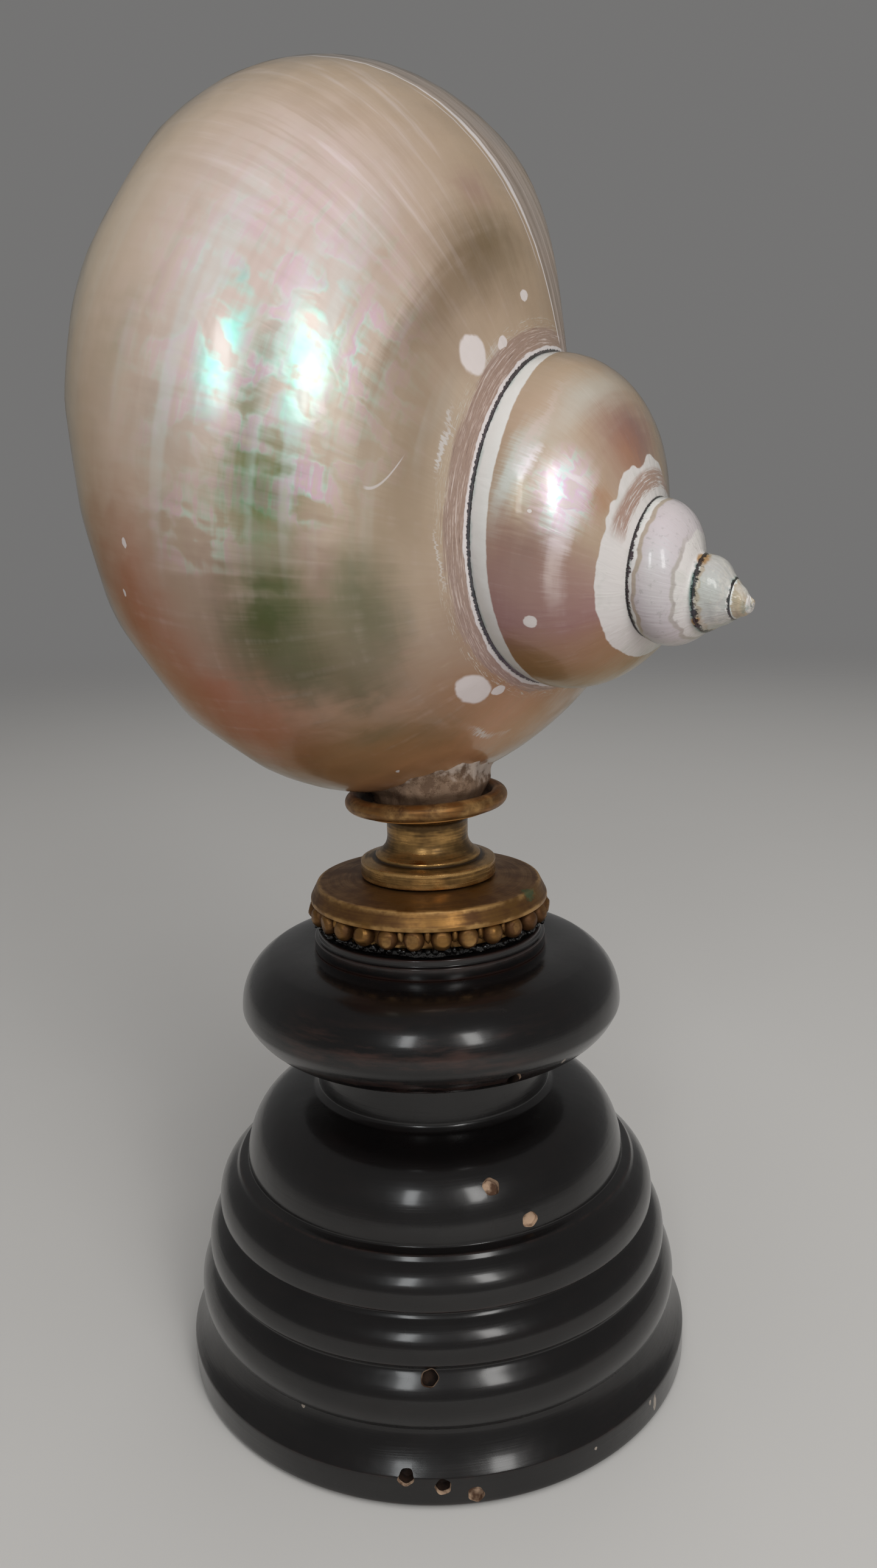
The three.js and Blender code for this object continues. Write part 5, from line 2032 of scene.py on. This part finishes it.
@dataclass
class CementBed:
    """Lump of cement between the cup and the shell."""

    bottom: float = 76.7
    foot_radius: float = 6.8
    radius: float = 8.5
    shoulder: float = 79.2
    lumps: float = 0.03
    bite: float = 0.25
    sides: int = 160

    def underside(self, spiral: ShellSpiral, places: np.ndarray) -> np.ndarray:
        """Height of the shell's underside over each place.

        The shell is sampled closely around its lowest stretch, and each place takes the height of
        the sample that is nearest to it from above.

        Args:
            spiral: The shell's surface.
            places: x and y of each place.

        Returns:
            The heights.
        """
        turn = np.linspace(-150, -30, 400)[:, None]
        around = np.linspace(-20, 130, 240)[None, :]
        samples = spiral.points(turn, around, spiral.worn_swell(turn), spiral.axis_slope).reshape(-1, 3)
        samples = samples[(np.abs(samples[:, :2]) < 12).all(axis=1) & (samples[:, 2] < 92)]
        gaps = ((places[:, None, :] - samples[None, :, :2]) ** 2).sum(axis=-1)
        return samples[gaps.argmin(axis=1), 2]

    def build(self, spiral: ShellSpiral) -> bpy.types.Object:
        """Makes the cement: its side rises in lumps to the shell, and its top follows the shell.

        Args:
            spiral: The shell's surface.

        Returns:
            The finished piece.
        """
        angle = 2 * np.pi * np.arange(self.sides)[None, :] / self.sides
        wave = np.sin(3 * angle) + np.sin(7 * angle + 1)
        knobs = 0.5 * np.sin(13 * angle + 2) + 0.4 * np.sin(22 * angle) + 0.3 * np.sin(37 * angle + 1)
        full = self.radius * (1 + self.lumps * wave)
        edge = np.stack([full[0] * np.cos(angle[0]), full[0] * np.sin(angle[0])], axis=-1)
        top = self.underside(spiral, edge)[None, :] + self.bite
        side = np.linspace(0, 1, 15)[:, None]
        height = self.bottom + (top - self.bottom) * side
        climb = np.clip((height - self.bottom) / (self.shoulder - self.bottom), 0, 1)
        radius = self.foot_radius + (full - self.foot_radius) * climb
        rough = 0.16 * knobs * np.sin(np.pi * side) + 0.07 * np.sin(9 * angle + 12 * side) * side
        radius = radius + rough - 0.9 * side * np.sin(np.pi * side) + 0.25 * side ** 4 * np.sin(17 * angle)
        walls = np.stack([radius * np.cos(angle), radius * np.sin(angle), height], axis=-1)
        inward = np.linspace(0.85, 0.08, 8)[:, None]
        lid = np.stack([inward * full * np.cos(angle), inward * full * np.sin(angle)], axis=-1)
        lid_height = self.underside(spiral, lid.reshape(-1, 2)).reshape(lid.shape[:2]) + self.bite
        roof = np.concatenate([lid, lid_height[..., None]], axis=-1)
        flat_radius = np.linspace(0.1, 0.95, 5)[:, None] * self.foot_radius + 0 * angle
        base = np.stack([flat_radius * np.cos(angle), flat_radius * np.sin(angle),
                         np.full(flat_radius.shape, self.bottom)], axis=-1)
        grid = np.concatenate([base, walls, roof])
        flat = np.zeros(grid.shape[:2])
        crest = np.concatenate([0 * flat_radius, side + 0 * angle, 0 * inward + 1 + 0 * angle])
        piece = grid_surface(grid, {"crest": crest, "hollow": flat}).to_object("cement_lump")
        dress(piece, "cement_bed", Slot.CEMENT, CementFinish().material())
        return piece


# Studio


@dataclass
class Softbox:
    """A flat lamp aimed at the object."""

    name: str
    azimuth: float
    elevation: float
    distance: float
    width: float
    height: float
    power: float
    colour: tuple[float, float, float] = (1.0, 1.0, 1.0)
    mirrored: bool = True

    def build(self, target: Vector) -> bpy.types.Object:
        """Hangs the lamp.

        Args:
            target: What it is aimed at, in metres.

        Returns:
            The lamp.
        """
        light = bpy.data.lights.new(self.name, "AREA")
        light.shape, light.size, light.size_y = "RECTANGLE", self.width * MM, self.height * MM
        light.energy, light.color = self.power, self.colour
        lamp = bpy.data.objects.new(self.name, light)
        azimuth, elevation = math.radians(self.azimuth), math.radians(self.elevation)
        away = Vector((math.sin(azimuth) * math.cos(elevation), -math.cos(azimuth) * math.cos(elevation),
                       math.sin(elevation)))
        lamp.visible_glossy = self.mirrored
        lamp.location = target + away * self.distance * MM
        lamp.rotation_euler = away.to_track_quat("Z", "Y").to_euler()
        bpy.context.scene.collection.objects.link(lamp)
        return lamp


@dataclass
class Studio:
    """Pale floor, soft lamps and the camera at the photograph's angle."""

    camera_place: tuple[float, float, float] = (1.591, -150.0, 110.497)
    pitch: float = 11.986
    roll: float = -1.2975
    lens_pixels: float = 1935.0
    picture_height: float = 2576.0
    sensor: float = 36.0
    floor_radius: float = 1300.0
    backdrop: str = "#c9c8c7"
    backdrop_strength: float = 0.3
    lamps: tuple[Softbox, ...] = (
        Softbox("right_window", 25, 27, 650, 100, 270, 0.7, (1.0, 0.99, 0.97)),
        Softbox("left_window", -15, 27, 650, 80, 260, 0.5, (0.96, 0.99, 1.0)),
        Softbox("front_key", 18, 34, 700, 520, 520, 2.75, (1.0, 1.0, 1.0), False),
        Softbox("ceiling", 20, 75, 800, 700, 700, 2.2, (1.0, 1.0, 1.0), False),
        Softbox("back_fill", 170, 35, 900, 600, 600, 0.9, (1.0, 1.0, 1.0), False),
    )

    def build_camera(self) -> bpy.types.Object:
        """Sets the camera: its pitch is down from level, and its roll is about its line of sight.

        Returns:
            The camera.
        """
        pitch, roll = math.radians(self.pitch), math.radians(self.roll)
        ahead = Vector((0, math.cos(pitch), -math.sin(pitch)))
        level, raised = Vector((1, 0, 0)), Vector((0, math.sin(pitch), math.cos(pitch)))
        right = math.cos(roll) * level + math.sin(roll) * raised
        up = math.cos(roll) * raised - math.sin(roll) * level
        data = bpy.data.cameras.new("photograph")
        data.sensor_width, data.sensor_fit = self.sensor, "AUTO"
        data.lens = self.lens_pixels * self.sensor / self.picture_height
        data.clip_start, data.clip_end = 0.005, 20.0
        camera = bpy.data.objects.new("photograph", data)
        turned = Matrix((right, up, -ahead)).transposed().to_4x4()
        camera.matrix_world = Matrix.Translation(Vector(self.camera_place) * MM) @ turned
        bpy.context.scene.collection.objects.link(camera)
        bpy.context.scene.camera = camera
        return camera

    def build_floor(self) -> bpy.types.Object:
        """Lays the floor disc just under the stand and marks it as stage.

        Returns:
            The floor.
        """
        angle = 2 * np.pi * np.arange(96)[None, :] / 96
        radius = np.geomspace(5.0, self.floor_radius, 24)[:, None]
        grid = np.stack([radius * np.cos(angle), radius * np.sin(angle), 0 * radius * angle - 0.02], axis=-1)
        flat = grid_surface(grid[::-1], {})
        sheet = Surface(flat.points, flat.quads, flat.fans[96:], {})
        floor = sheet.to_object("studio_floor")
        floor.data.materials.append(FloorFinish().material())
        return floor

    def build(self) -> None:
        """Sets up the camera, the floor, the lamps, the backdrop and plain colours."""
        self.build_camera()
        self.build_floor()
        for lamp in self.lamps:
            lamp.build(Vector((0, 0, 0.11)))
        world = bpy.data.worlds.new("studio")
        world.use_nodes = True
        background = world.node_tree.nodes["Background"]
        background.inputs["Color"].default_value = (*linear(self.backdrop), 1.0)
        background.inputs["Strength"].default_value = self.backdrop_strength
        bpy.context.scene.world = world
        bpy.context.scene.view_settings.view_transform = "Standard"


def main() -> None:
    """Builds the studio and the pieces in order, from the floor up."""
    logging.basicConfig(level=logging.INFO, format="%(name)s: %(message)s")
    Studio().build()
    shell = TurboShell()
    for piece in (
        WoodenStand().build(),
        PitchBed().build(),
        BeadedDisc().build(),
        BrassSpool().build(),
        BrassCup().build(),
        CementBed().build(shell.spiral),
        shell.build(),
    ):
        LOG.info("finished %s", piece.name)


if __name__ == "__main__":
    main()
